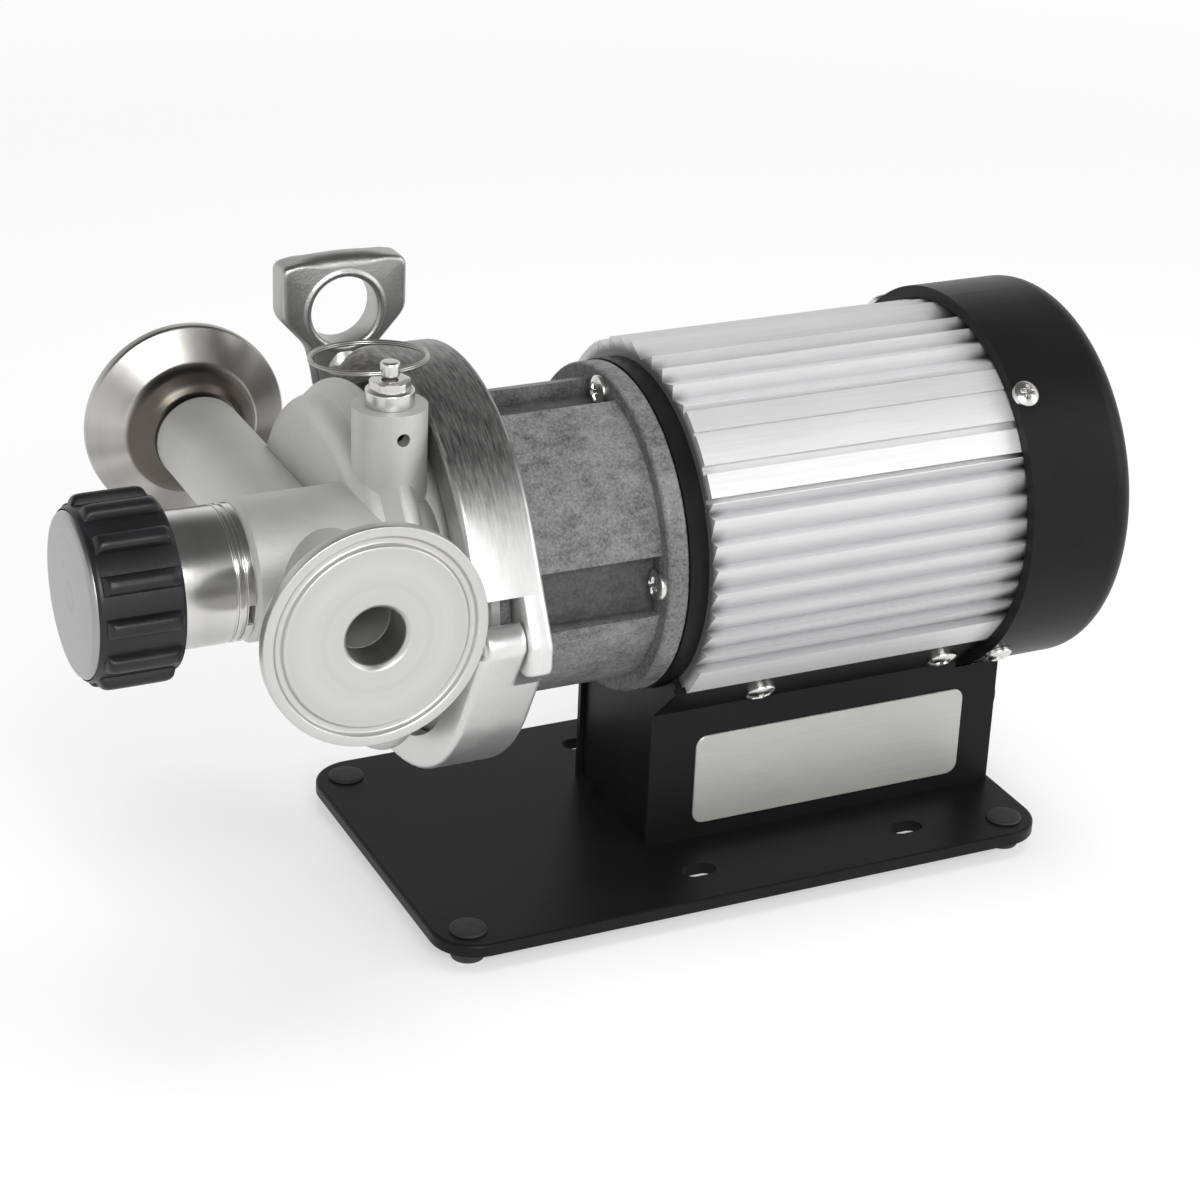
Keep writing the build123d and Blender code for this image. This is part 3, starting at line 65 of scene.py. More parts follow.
AXIS = 81.2                              # height of the motor's axis above the plate's underside
MOTOR = (0.0, 0.0, AXIS)                 # a point on the motor's line, which runs along x
VALVE = (0.0, -20.9, 94.3)               # a point on the valve's line, along x
VENT = (-104.8, -21.0, 0.0)              # a point on the vent's line, along z
INLET = (-120.9, 76.8, 90.5)             # middle of each port's face, on a line along y
OUTLET = (-123.8, -63.2, 94.3)
CLAMP_X = -87.8                          # middle of the clamp's band
FIN_ROOT, FIN_TIP = 41.3, 43.8           # radii of the housing's fins about the motor's axis


def metres(place):
    """Millimetres to metres."""
    return tuple(0.001 * v for v in place)


# Shader arithmetic

class Signal:
    """One shader socket that takes part in Python arithmetic, each operation adding a Math node."""

    def __init__(self, finish, socket):
        self.finish = finish
        self.socket = socket

    def _math(self, operation, *values):
        return self.finish.node("ShaderNodeMath", {"operation": operation}, *values)

    def __add__(self, other):
        return self._math("ADD", self, other)

    def __rsub__(self, other):
        return self._math("SUBTRACT", other, self)

    def __mul__(self, other):
        return self._math("MULTIPLY", self, other)

    def __truediv__(self, other):
        return self._math("DIVIDE", self, other)

    def __abs__(self):
        return self._math("ABSOLUTE", self)

    __radd__ = __add__
    __rmul__ = __mul__

    def root(self):
        return self._math("SQRT", self)

    def clear(self, low, high):
        """0 below low, 1 above high, smooth between."""
        smooth = {"interpolation_type": "SMOOTHSTEP"}
        return self.finish.node("ShaderNodeMapRange", smooth, self, low, high, 0.0, 1.0)


class Finish:
    """A named material: one Principled shader and the nodes that feed it."""

    def __init__(self, name, color, metallic=0.0, roughness=0.5, **constants):
        self.material = bpy.data.materials.new(name)
        self.material.use_nodes = True
        self.tree = self.material.node_tree
        self.tree.nodes.clear()
        self.shader = self.tree.nodes.new("ShaderNodeBsdfPrincipled")
        self.output = self.tree.nodes.new("ShaderNodeOutputMaterial")
        self.tree.links.new(self.shader.outputs[0], self.output.inputs[0])
        self.set("Base Color", color)
        self.set("Metallic", metallic)
        self.set("Roughness", roughness)
        for socket, value in constants.items():
            self.set(socket.replace("_", " "), value)
        self.material.diffuse_color = (*color, 1.0)

    def node(self, kind, settings, *values, out=0, **named):
        """One node: its settings first, then its sockets in order or by name, each a value or a Signal."""
        made = self.tree.nodes.new(kind)
        for key, value in settings.items():
            setattr(made, key, value)
        for socket, value in zip(made.inputs, values):
            self.feed(socket, value)
        for name, value in named.items():
            self.feed(made.inputs[name], value)
        return Signal(self, made.outputs[out])

    def feed(self, socket, value):
        """Links a Signal to a socket, or sets the socket to a value."""
        if isinstance(value, Signal):
            self.tree.links.new(value.socket, socket)
        else:
            socket.default_value = (*value, 1.0) if socket.type == "RGBA" else value

    def set(self, name, value):
        self.feed(self.shader.inputs[name], value)

    def place(self):
        """Object coordinates."""
        return self.node("ShaderNodeTexCoord", {}, out="Object")

    def shifted(self, origin, scale=(1.0, 1.0, 1.0)):
        """Object coordinates measured from origin, each stretched by scale."""
        moved = self.node("ShaderNodeVectorMath", {"operation": "SUBTRACT"}, self.place(), tuple(origin))
        return self.node("ShaderNodeVectorMath", {"operation": "MULTIPLY"}, moved, tuple(scale))

    def parts(self, vector):
        """The three numbers of a vector."""
        made = self.node("ShaderNodeSeparateXYZ", {}, vector).socket.node
        return [Signal(self, socket) for socket in made.outputs]

    def noise(self, vector, scale, detail=2.0, rough=0.5):
        """Cloudy value from 0 to 1; scale is in cells a metre."""
        return self.node("ShaderNodeTexNoise", {}, Vector=vector, Scale=scale, Detail=detail,
                         Roughness=rough)

    def noise_along(self, value, scale):
        """Noise that changes with one number only."""
        return self.node("ShaderNodeTexNoise", {"noise_dimensions": "1D"}, W=value, Scale=scale, Detail=1.0)

    def across(self, origin, axis):
        """Two coordinates square to a line through origin along axis 0, 1 or 2, and distance from it."""
        a, b = [value for i, value in enumerate(self.parts(self.shifted(origin))) if i != axis]
        return a, b, (a * a + b * b).root()

    def radius_from(self, origin, axis):
        """Distance from a line through origin along axis 0, 1 or 2."""
        return self.across(origin, axis)[2]

    def rings(self, origin, axis, pitch):
        """Value that changes with distance from a line and along it, as a lathe tool leaves it."""
        along = self.parts(self.shifted(origin))[axis]
        return self.noise_along(self.radius_from(origin, axis) + 0.73 * along, 1.0 / pitch)

    def wedges(self, origin, axis, count):
        """Value that changes with the direction from a line, smooth all round: noise on a circle."""
        a, b, radius = self.across(origin, axis)
        radius = radius + 0.0001
        circle = self.node("ShaderNodeCombineXYZ", {}, a / radius * count, b / radius * count, 0.0)
        return self.noise(circle, 1.0, 1.0, 0.5)

    def blend_color(self, factor, first, second):
        """Mix of two colours: of a mix node's sockets, 0, 6 and 7 take them, and 2 gives the result."""
        made = self.tree.nodes.new("ShaderNodeMix")
        made.data_type = "RGBA"
        for index, value in ((0, factor), (6, first), (7, second)):
            self.feed(made.inputs[index], value)
        return Signal(self, made.outputs[2])

    def bump(self, height, distance, strength):
        """Fine relief of a height signal, distance metres deep."""
        made = self.node("ShaderNodeBump", {}, Strength=strength, Distance=distance, Height=height)
        self.set("Normal", made)


def times(color, share):
    """A colour made darker or lighter by one factor."""
    return tuple(share * c for c in color)


# Finishes of this object's pieces

def powder_coat():
    """Satin black powder coat: fine orange peel and faint cloudiness."""
    black = (0.008, 0.008, 0.0085)
    f = Finish("satin_black_coat", black, roughness=0.4, Specular_IOR_Level=0.12)
    peel = f.noise(f.place(), 900.0, 3.0, 0.6)
    cloud = f.noise(f.place(), 45.0, 4.0, 0.6)
    f.set("Base Color", f.blend_color(cloud, times(black, 0.8), times(black, 1.5)))
    f.set("Roughness", 0.3 + 0.08 * cloud + 0.05 * peel)
    f.bump(peel, 0.00008, 0.4)
    return f.material


def filled_plastic():
    """Glass filled black plastic: chalky grey flow marks over black, dark specks and a fine grain. The
    screw channels, nearer the motor's axis than the lobes, are painted darker: the grey haze is held to
    about a third there, as painted shade in those recesses."""
    f = Finish("filled_black_plastic", (0.03, 0.03, 0.032), roughness=0.55, Specular_IOR_Level=0.35)
    flow = f.noise(f.shifted((0, 0, 0), (0.8, 1.2, 1.2)), 330.0, 6.0, 0.72)
    wide = f.noise(f.place(), 75.0, 3.0, 0.6)
    specks = f.noise(f.place(), 1500.0, 3.0, 0.7)
    # Painted shade: 1 on the lobes, falling towards the screw channels nearer the motor's axis, where the
    # haze fades to darken the recesses
    outside_channel_shade = f.radius_from(metres(MOTOR), 0).clear(0.0312, 0.0358)
    haze = (flow * 0.38 + wide * 0.27 + specks * 0.5).clear(0.3, 0.84) * (0.35 + 0.65 * outside_channel_shade)
    f.set("Base Color", f.blend_color(haze, (0.022, 0.022, 0.023), (0.26, 0.262, 0.266)))
    f.set("Roughness", 0.44 + 0.18 * flow + 0.06 * specks)
    f.bump(flow * 0.6 + specks * 0.4, 0.00014, 0.5)
    return f.material


def rubber(name="black_rubber", color=(0.007, 0.007, 0.008), rough=0.4):
    """Moulded rubber: dry, with a fine even grain and paler dusty patches."""
    f = Finish(name, color, roughness=rough, Specular_IOR_Level=0.4)
    grain = f.noise(f.place(), 1200.0, 2.0, 0.5)
    dust = f.noise(f.place(), 90.0, 4.0, 0.6)
    f.set("Base Color", f.blend_color(dust.clear(0.4, 0.8), color, times(color, 2.2)))
    f.set("Roughness", rough - 0.08 + 0.16 * dust)
    f.bump(grain, 0.00006, 0.5)
    return f.material


def blasted_steel(name="bead_blasted_steel", color=(0.58, 0.58, 0.57), rough=0.56, metal=0.8):
    """Investment casting, bead blasted: fine pits, soft cloudy sheen."""
    f = Finish(name, color, metallic=metal, roughness=rough)
    pits = f.noise(f.place(), 1700.0, 3.0, 0.65)
    cloud = f.noise(f.place(), 70.0, 4.0, 0.55)
    f.set("Base Color", f.blend_color(cloud, times(color, 0.86), times(color, 1.1)))
    f.set("Roughness", rough - 0.07 + 0.14 * cloud + 0.04 * pits)
    f.bump(pits, 0.00012, 0.6)
    return f.material


def turned_steel(name, origin, axis, color, rough, pitch=0.0005, sheen=0.0, tint=0.0):
    """Turned stainless: rings round the axis that part reflections as a lathe finish does, a painted sheen
    in broad wedges where asked, lighter and darker by the direction round the axis, and behind the face a
    dark brown out to the radius tint."""
    f = Finish(name, color, metallic=1.0, roughness=rough)
    ring = f.rings(origin, axis, pitch)
    broad = f.rings(origin, axis, pitch * 7.0)
    # Painted sheen: light and dark wedges by direction round the axis stand in for the streaked reflections
    # of a turned face; the broad rings are the lathe's own tone
    shade = broad * (1.0 - sheen) + f.wedges(origin, axis, 1.9).clear(0.35, 0.65) * sheen
    steel = f.blend_color(shade, times(color, 0.85 - 0.4 * sheen), times(color, 1.08))
    # Dark brown in the hollow behind the face, within the radius tint
    if tint:
        inside = 1.0 - f.radius_from(origin, axis).clear(tint - 0.001, tint)
        behind = 1.0 - f.parts(f.shifted(origin))[axis].clear(-0.003, -0.002)
        steel = f.blend_color(inside * behind, steel, (0.11, 0.1, 0.085))
    f.set("Base Color", steel)
    f.set("Roughness", rough - 0.04 + 0.08 * ring)
    f.bump(ring, 0.00002, 0.3)
    return f.material


def clamp_steel():
    """Tumbled stainless, brushed round the band: marks that follow the turn, and a painted dark reflection
    over the band's upper part, streaked along the brushing marks.
    """
    f = Finish("brushed_clamp_steel", (0.62, 0.62, 0.61), metallic=0.85, roughness=0.34)
    x, y, z = f.parts(f.shifted(metres(MOTOR)))
    radius = (y * y + z * z).root()
    turn = f.node("ShaderNodeMath", {"operation": "ARCTAN2"}, z, y)
    around = f.node("ShaderNodeCombineXYZ", {}, x * 1600.0, radius * 1600.0, turn * 9.0)
    marks = f.noise(around, 1.0, 3.0, 0.65)
    cloud = f.noise(f.place(), 120.0, 4.0, 0.6)
    # Painted reflection: 0 low on the band, 1 high above the motor's axis, where the steel is painted dark
    # in place of the dim ceiling it mirrors
    painted_top_shade = (z + 0.012 * cloud).clear(0.018, 0.046)
    bright = f.blend_color(marks * 0.6 + cloud * 0.4, (0.62, 0.62, 0.615), (0.8, 0.8, 0.79))
    streaks = (marks * 0.7 + cloud * 0.3).clear(0.3, 0.75)
    # Painted shade: a darker copy of the steel for the upper part, streaked by the brushing marks
    dark = f.blend_color(streaks, (0.07, 0.07, 0.07), (0.36, 0.36, 0.35))
    f.set("Base Color", f.blend_color(painted_top_shade, bright, dark))
    f.set("Roughness", 0.24 + 0.14 * cloud + 0.1 * marks)
    f.bump(marks, 0.00004, 0.5)
    return f.material


def fin_aluminium():
    """Extruded aluminium, etched: pale and nearly dull, with faint drawing lines along the motor. The fins'
    roots are painted grey as painted shade in the grooves, and painted dark close to the shields at both
    ends as painted shadow under their rims."""
    f = Finish("extruded_aluminium", (0.7, 0.7, 0.705), metallic=0.6, roughness=0.46)
    lines = f.noise(f.shifted((0, 0, 0), (0.03, 1.0, 1.0)), 1300.0, 2.0, 0.5)
    cloud = f.noise(f.place(), 60.0, 3.0, 0.5)
    # Painted shade: 1 at the fins' roots, 0 at their tips, greying the grooves
    root = 1.0 - f.radius_from(metres(MOTOR), 0).clear(*metres((FIN_ROOT, FIN_TIP)))
    first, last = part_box("motor_housing")[0][0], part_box("fan_cover")[0][0]
    half = 0.5 * (last - first)
    from_middle = abs(f.parts(f.shifted((first + half, 0, 0)))[0])
    # Painted shadow: the roots darken within 5 mm of each end of the fins, beside the shields
    painted_end_shadow = from_middle.clear(half - 0.005, half + 0.001)
    pale = f.blend_color(lines, (0.66, 0.66, 0.667), (0.78, 0.78, 0.785))
    with_painted_root_shade = f.blend_color(root * 0.3, pale, (0.45, 0.45, 0.46))
    f.set("Base Color", f.blend_color(root * painted_end_shadow * 0.8, with_painted_root_shade, (0.06, 0.06, 0.065)))
    f.set("Roughness", 0.44 + 0.08 * cloud + 0.04 * lines)
    f.bump(lines, 0.00003, 0.3)
    return f.material


def polished(name="polished_steel", color=(0.68, 0.675, 0.66), rough=0.09):
    """Mirror polish with faint handling haze."""
    f = Finish(name, color, metallic=1.0, roughness=rough)
    haze = f.noise(f.place(), 140.0, 4.0, 0.6)
    f.set("Base Color", f.blend_color(haze, times(color, 0.92), times(color, 1.06)))
    f.set("Roughness", rough * 0.7 + rough * 0.9 * haze)
    f.bump(haze, 0.00003, 0.2)
    return f.material


def name_plate_sheet():
    """Satin anodised sheet with a fine grain along its length."""
    f = Finish("satin_name_plate", (0.5, 0.5, 0.47), metallic=0.45, roughness=0.42)
    grain = f.noise(f.shifted((0, 0, 0), (0.03, 1.0, 1.0)), 3200.0, 2.0, 0.6)
    cloud = f.noise(f.place(), 50.0, 3.0, 0.5)
    f.set("Base Color", f.blend_color(grain, (0.43, 0.43, 0.41), (0.53, 0.53, 0.5)))
    f.set("Roughness", 0.34 + 0.1 * cloud)
    f.bump(grain, 0.00003, 0.4)
    return f.material


def plain(name, low, high, metallic=0.0, rough=0.5):
    """Any inner piece: two near colours in soft clouds, a fine grain."""
    f = Finish(name, low, metallic=metallic, roughness=rough)
    cloud = f.noise(f.place(), 160.0, 4.0, 0.6)
    f.set("Base Color", f.blend_color(cloud, low, high))
    f.set("Roughness", rough - 0.06 + 0.14 * cloud)
    f.bump(f.noise(f.place(), 1280.0), 0.00005, 0.4)
    return f.material


finishes = {
    "black_coat": powder_coat(),
    "black_rubber": rubber(),
    "black_plastic": filled_plastic(),
    "grey_plastic": plain("grey_moulded_plastic", (0.3, 0.3, 0.29), (0.38, 0.38, 0.37)),
    "white_plastic": plain("white_moulded_plastic", (0.7, 0.7, 0.68), (0.8, 0.8, 0.78)),
    "amber_plastic": plain("natural_plastic", (0.36, 0.26, 0.14), (0.46, 0.34, 0.19)),
    "ceramic": plain("ground_ceramic", (0.78, 0.76, 0.71), (0.86, 0.84, 0.79), rough=0.3),
    "white_rubber": plain("white_silicone", (0.66, 0.66, 0.63), (0.76, 0.76, 0.73), rough=0.6),
    "lamination": plain("oiled_lamination", (0.2, 0.2, 0.21), (0.32, 0.32, 0.33), metallic=1.0, rough=0.4),
    "magnet": plain("plated_magnet", (0.5, 0.5, 0.49), (0.6, 0.6, 0.58), metallic=1.0, rough=0.25),
    "copper": plain("enamelled_copper", (0.4, 0.15, 0.06), (0.58, 0.26, 0.1), metallic=0.8, rough=0.35),
    "cast_aluminium": fin_aluminium(),
    "cast_steel": blasted_steel(),
    "turned_steel": turned_steel("turned_inlet_steel", metres(INLET), 1, (0.5, 0.485, 0.46), 0.3,
                                 sheen=0.75, tint=0.017),
    "polished_steel": polished(),
    "clamp_steel": clamp_steel(),
    "nut_steel": blasted_steel("cast_nut_steel", (0.45, 0.45, 0.44), 0.34, 1.0),
    "bright_steel": polished("nickel_plate", (0.72, 0.71, 0.69), 0.2),
    "satin_cap": turned_steel("satin_cap_steel", metres(VALVE), 0, (0.38, 0.38, 0.38), 0.34, 0.0004),
}
outlet_steel = turned_steel("turned_outlet_steel", metres(OUTLET), 1, (0.6, 0.597, 0.585), 0.42)
bonnet_steel = turned_steel("fine_turned_steel", metres(VALVE), 0, (0.62, 0.615, 0.6), 0.2, 0.0006)
vent_steel = turned_steel("satin_vent_steel", metres(VENT), 2, (0.68, 0.675, 0.66), 0.3, 0.0006)
ring_steel = polished("spring_ring_steel", (0.36, 0.355, 0.345), 0.28)
foot_rubber = rubber("grey_black_rubber", (0.02, 0.02, 0.02), 0.6)

for entry in frame["record"]["subparts"]:
    node = frame["nodes"][entry["node"]]
    node.data.materials.clear()
    node.data.materials.append(finishes[entry["material_slot"]])
frame["nodes"]["outlet_ferrule"].data.materials[0] = outlet_steel


# Surfaces: every new piece is a grid of points worked out as whole arrays, in millimetres

def skin(name, grids, body, finish, replaced=(), close_u=True, sharp=34.0):
    """One object from grids of points (rows u, columns v). Neighbouring rows and columns are joined by
    quads, columns closed round and rows too where asked; doubled points at poles are merged. Placed on
    a body."""
    points, faces, start = [], [], 0
    for grid in grids:
        rows, columns = grid.shape[:2]
        index = np.arange(rows * columns).reshape(rows, columns) + start
        if close_u:
            index = np.vstack([index, index[:1]])
        index = np.hstack([index, index[:, :1]])
        quads = np.stack([index[:-1, :-1], index[:-1, 1:], index[1:, 1:], index[1:, :-1]], axis=-1)
        faces.append(quads.reshape(-1, 4))
        points.append(grid.reshape(-1, 3) * 0.001)
        start += rows * columns
    mesh = bpy.data.meshes.new(name)
    mesh.from_pydata(np.concatenate(points).tolist(), [], np.concatenate(faces).tolist())
    work = bmesh.new()
    work.from_mesh(mesh)
    bmesh.ops.remove_doubles(work, verts=work.verts, dist=1e-7)
    bmesh.ops.recalc_face_normals(work, faces=work.faces)
    work.to_mesh(mesh)
    work.free()
    mesh.polygons.foreach_set("use_smooth", np.ones(len(mesh.polygons), dtype=bool))
    mesh.set_sharp_from_angle(angle=math.radians(sharp))
    piece = bpy.data.objects.new(name, mesh)
    bpy.context.collection.objects.link(piece)
    mesh.materials.append(finish)
    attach(piece, body)
    if replaced:
        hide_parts(*replaced)


def eased(corners, radius, steps=4, closed=True):
    """Polygon with each corner replaced by an arc-like curve: a quadratic from a point on one side to
    a point on the next, both at most radius from the corner."""
    corners = np.asarray(corners, dtype=float)
    before, after = np.roll(corners, 1, axis=0), np.roll(corners, -1, axis=0)
    if not closed:
        before[0], after[-1] = corners[0], corners[-1]
    out = []
    for previous, here, following in zip(before, corners, after):
        back_way, on_way = previous - here, following - here
        back_length, on_length = np.linalg.norm(back_way), np.linalg.norm(on_way)
        if back_length < 1e-9 or on_length < 1e-9:
            out.append(here[None])
            continue
        cut = min(radius, 0.45 * back_length, 0.45 * on_length)
        a, b = here + back_way / back_length * cut, here + on_way / on_length * cut
        t = np.linspace(0.0, 1.0, steps + 1)[:, None]
        out.append((1 - t) ** 2 * a + 2 * t * (1 - t) * here + t ** 2 * b)
    return np.concatenate(out)


def turned(profile, centre, axis, segments, shape=None):
    """Profile of (distance from centre along the axis, radius) carried round a line through centre.
    shape(height, angle, radius) may give each point a new radius."""
    along = np.eye(3)[axis]
    first, second = np.delete(np.eye(3), axis, axis=0)
    angle = np.linspace(0.0, 2 * np.pi, segments, endpoint=False)[None, :]
    height, radius = profile[:, :1] + 0 * angle, profile[:, 1:] + 0 * angle
    if shape is not None:
        radius = shape(height, angle, radius)
    return (np.array(centre) + height[..., None] * along + (radius * np.cos(angle))[..., None] * first
            + (radius * np.sin(angle))[..., None] * second)


def smooth_step(value):
    """0 below 0, 1 above 1, and 3t^2 - 2t^3 between."""
    t = np.clip(value, 0.0, 1.0)
    return t * t * (3 - 2 * t)


# Screws: heads with a cross recess over the plain ones

SMALL_HEAD, LARGE_HEAD, HEAD_HEIGHT = 3.3, 3.8, 2.1      # radii of the heads and their height
COVER_SCREWS = (51.75, 47.9)                             # place along x and radius from the motor's axis
ADAPTER_SCREWS = (-43.5, 34.9)
CRADLE_X, CRADLE_Y, CRADLE_Z = (-10.5, 40.5), 26.03, 44.43


def cross_head(place, outward, turn, radius):
    """Pan head with a cross recess: a domed disc z = h * (1 - 0.5 (r/R)^2.6), its edge rolled down to
    the seat, less a cross of two arms a third of R wide and 1.2 R long, 1.2 deep at the middle."""
    rings = radius * np.array([0.0, 0.08, 0.16, 0.24, 0.32, 0.4, 0.47, 0.54, 0.6, 0.66, 0.72, 0.8, 0.88,
                               0.94, 0.98, 1.0, 1.0, 1.0])
    level = HEAD_HEIGHT * (1 - 0.5 * (rings / radius) ** 2.6)
    level[-4:] = (0.52 * HEAD_HEIGHT, 0.5 * HEAD_HEIGHT - 0.12, 0.25 * HEAD_HEIGHT, 0.0)
    angle = np.linspace(0, 2 * np.pi, 64, endpoint=False)[None, :]
    x, y = rings[:, None] * np.cos(angle), rings[:, None] * np.sin(angle)

    def arm(a, b):
        along, beside = 0.62 - np.abs(a) / radius, 0.17 - np.abs(b) / radius
        return smooth_step(beside / 0.08) * smooth_step(along / 0.16)

    deep = np.maximum(arm(x, y), arm(y, x)) * (1.2 - 0.25 * np.hypot(x, y))
    z = level[:, None] - deep
    normal = np.array(outward, dtype=float) / np.linalg.norm(outward)
    side = np.cross(normal, (1.0, 0.0, 0.0) if abs(normal[0]) < 0.9 else (0.0, 0.0, 1.0))
    side /= np.linalg.norm(side)
    other = np.cross(normal, side)
    a = side * math.cos(turn) + other * math.sin(turn)
    b = other * math.cos(turn) - side * math.sin(turn)
    return np.array(place) + x[..., None] * a + y[..., None] * b + z[..., None] * normal


def cover_screw(degrees):
    """Seat and direction of a screw in the rear cover, which points away from the motor's axis."""
    x, radius = COVER_SCREWS
    out = (0.0, math.cos(math.radians(degrees)), math.sin(math.radians(degrees)))
    return (x, radius * out[1], AXIS + radius * out[2]), out


def adapter_screw(degrees):
    """Seat and direction of a screw in the adapter's channel, which points along the motor's axis."""
    x, radius = ADAPTER_SCREWS
    turn = math.radians(degrees)
    return (x, radius * math.sin(turn), AXIS + radius * math.cos(turn)), (-1, 0, 0)


def cradle_screw(x, side):
    """Seat and direction of a screw in the cradle's flange, which points out and down at 45 degrees."""
    return (x, side * CRADLE_Y, CRADLE_Z), (0, side, -1)


screw_sets = (
    ("cover_cross_screws", "fan_cover_screws", SMALL_HEAD, [cover_screw(d) for d in (45, 135, 225, 315)]),
    ("adapter_cross_screws", "adapter_screws", LARGE_HEAD, [adapter_screw(d) for d in (0, 90, 180, 270)]),
    ("cradle_cross_screws", "cradle_screws", LARGE_HEAD,
     [cradle_screw(x, side) for side in (-1, 1) for x in CRADLE_X]))
for name, node, head_radius, screws in screw_sets:
    heads = [cross_head(seat, out, 0.4 + 0.9 * i, head_radius) for i, (seat, out) in enumerate(screws)]
    skin(name, heads, "pump_body", finishes["bright_steel"], (node,), close_u=False)


# Valve: fine-turned bonnet with two grooves and a pin slit, knob with long rounded ribs, silver cap

BONNET, STEM_BORE = 15.3, 4.1                    # radii
COLLAR = (-142.8, -141.05)                       # ends along x of the collar next to the body
SLIT_TURN, SLIT_HALF, SLIT_DEEP = math.radians(196), 0.17, 3.0
RIBS, RIB_HALF, RIB_RISE = 13, 0.235, 2.2        # number, half width as a share of the pitch, height
knob_front, knob_rear = (1000 * corner[0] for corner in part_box("knob_grip"))


def slit(height, angle, radius):
    """Cuts a deep slit 20 degrees wide through the collar next to the body, on the near low side."""
    near = smooth_step((SLIT_HALF - np.abs(angle - SLIT_TURN)) / 0.03)
    collar = smooth_step((height - COLLAR[0] - 0.2) / 0.1) * smooth_step((COLLAR[1] + 0.1 - height) / 0.05)
    return radius - SLIT_DEEP * near * collar * (radius > 13)


bonnet = eased([(-163.5, STEM_BORE), (-163.5, BONNET), (-145.2, BONNET), (-145.2, 14.9), (-144.7, 14.9),
                (-144.7, BONNET), (-143.6, BONNET), (-143.6, 14.6), (COLLAR[0], 14.6), (COLLAR[0], BONNET),
                (COLLAR[1], BONNET), (COLLAR[1], 12.0), (-134.0, 12.0), (-134.0, 8.6), (-137.5, 8.6),
                (-137.5, STEM_BORE)], 0.16)
skin("polished_bonnet", [turned(bonnet, VALVE, 0, 192, slit)], "pump_body", bonnet_steel,
     ("valve_bonnet",))


def knob_ribs(height, angle, radius):
    """Radius r + 2.2 * rise(x) * rib(angle): ridges of rounded section, their ends rounded off."""
    phase = (angle * RIBS / (2 * np.pi)) % 1.0 - 0.5
    rib = np.clip(1 - np.abs(phase / RIB_HALF) ** 2.6, 0.0, 1.0) ** 0.55
    middle, half = 0.5 * (knob_rear + knob_front) + 0.3, 0.5 * (knob_rear - knob_front) - 1.2
    rise = np.sqrt(np.clip(1 - np.abs((height - middle) / half) ** 11, 0.0, 1.0))
    return radius + RIB_RISE * rise * rib * smooth_step((radius - 18.4) / 0.5)


knob_side = np.stack([np.linspace(knob_rear - 0.5, knob_front + 0.9, 44), np.full(44, 19.2)], axis=1)
knob_profile = np.concatenate([
    [(knob_rear - 7.0, 15.85), (knob_rear, 15.85), (knob_rear, 16.4), (knob_rear, 18.6),
     (knob_rear - 0.15, 19.05)], knob_side,
    [(knob_front + 0.4, 19.0), (knob_front + 0.1, 18.8), (knob_front, 18.62), (knob_front + 0.4, 18.56),
     (knob_front + 3.2, 18.56), (knob_front + 3.2, STEM_BORE), (knob_rear - 7.0, STEM_BORE)]])
skin("ribbed_knob", [turned(knob_profile, VALVE, 0, RIBS * 34, knob_ribs)], "knob",
     finishes["black_rubber"], ("knob_grip",), sharp=50.0)
cap = eased([(knob_front + 3.0, 0.0), (knob_front + 3.0, 18.45), (knob_front - 1.15, 18.45),
             (knob_front - 1.15, 0.0)], 2.2, 7, closed=False)
skin("knob_disc", [turned(cap, VALVE, 0, 144)], "knob", finishes["satin_cap"], ("knob_cap",),
     close_u=False)


# Ferrules: rim, gasket groove, cone behind

FERRULE_FACE = [(0.0, 20.6), (1.1, 21.2), (1.1, 22.4), (0.0, 23.0), (0.0, 25.25), (2.85, 25.25)]


def ferrule(port, side, bore, back, rounding):
    """Port turned about a line along y: bore, face and back are (distance behind the face, radius), and
    side is the way from the face to its back."""
    return turned(eased(bore + FERRULE_FACE + back, rounding) * (side, 1.0), port, 1, 160)


inlet = ferrule(INLET, -1.0, [(14.0, 8.0), (0.0, 8.0)],
                [(6.5, 16.8), (8.6, 15.6), (10.7, 12.9), (11.85, 10.9), (14.0, 10.9)], 0.6)
outlet = ferrule(OUTLET, 1.0, [(10.0, 6.65), (1.0, 6.65), (0.0, 7.65)], [(8.85, 12.0), (10.0, 12.0)], 0.4)
skin("inlet_end", [inlet], "pump_body", finishes["turned_steel"], ("inlet_ferrule",))
skin("outlet_end", [outlet], "pump_body", outlet_steel, ("outlet_ferrule",))


# Vent: stepped cap with six flats, round-topped pin, split ring of two turns

HEX_RADIUS, HEX_FOOT = 4.6, 51.4                 # the flats' radius, and their foot above the motor's axis
RING_RADIUS, RING_WIRE, RING_TILT, RING_HEIGHT = 13.0, 0.42, math.radians(6.0), 55.0

vent_cap = eased([(43.1, 1.86), (43.1, 5.0), (47.5, 5.0), (47.5, 5.5), (51.0, 5.5), (HEX_FOOT, HEX_RADIUS),
                  (53.2, HEX_RADIUS), (53.2, 1.86)], 0.3, 5) + (AXIS, 0.0)
pin = eased([(34.1, 0.0), (34.1, 4.4), (36.6, 4.4), (36.6, 1.8), (53.6, 1.5), (54.2, 2.2), (57.4, 2.2),
             (57.4, 0.0)], 0.9, 6, closed=False) + (AXIS, 0.0)


def hexagon(height, angle, radius):
    """Turns the top of the cap into six flats: R * 0.93 / cos(angle from the flat's middle)."""
    from_middle = (angle + math.radians(12)) % (np.pi / 3) - np.pi / 6
    flats = np.minimum(radius, HEX_RADIUS * 0.93 / np.cos(from_middle))
    return np.where((height > AXIS + HEX_FOOT - 0.05) & (radius > 3.0), flats, radius)


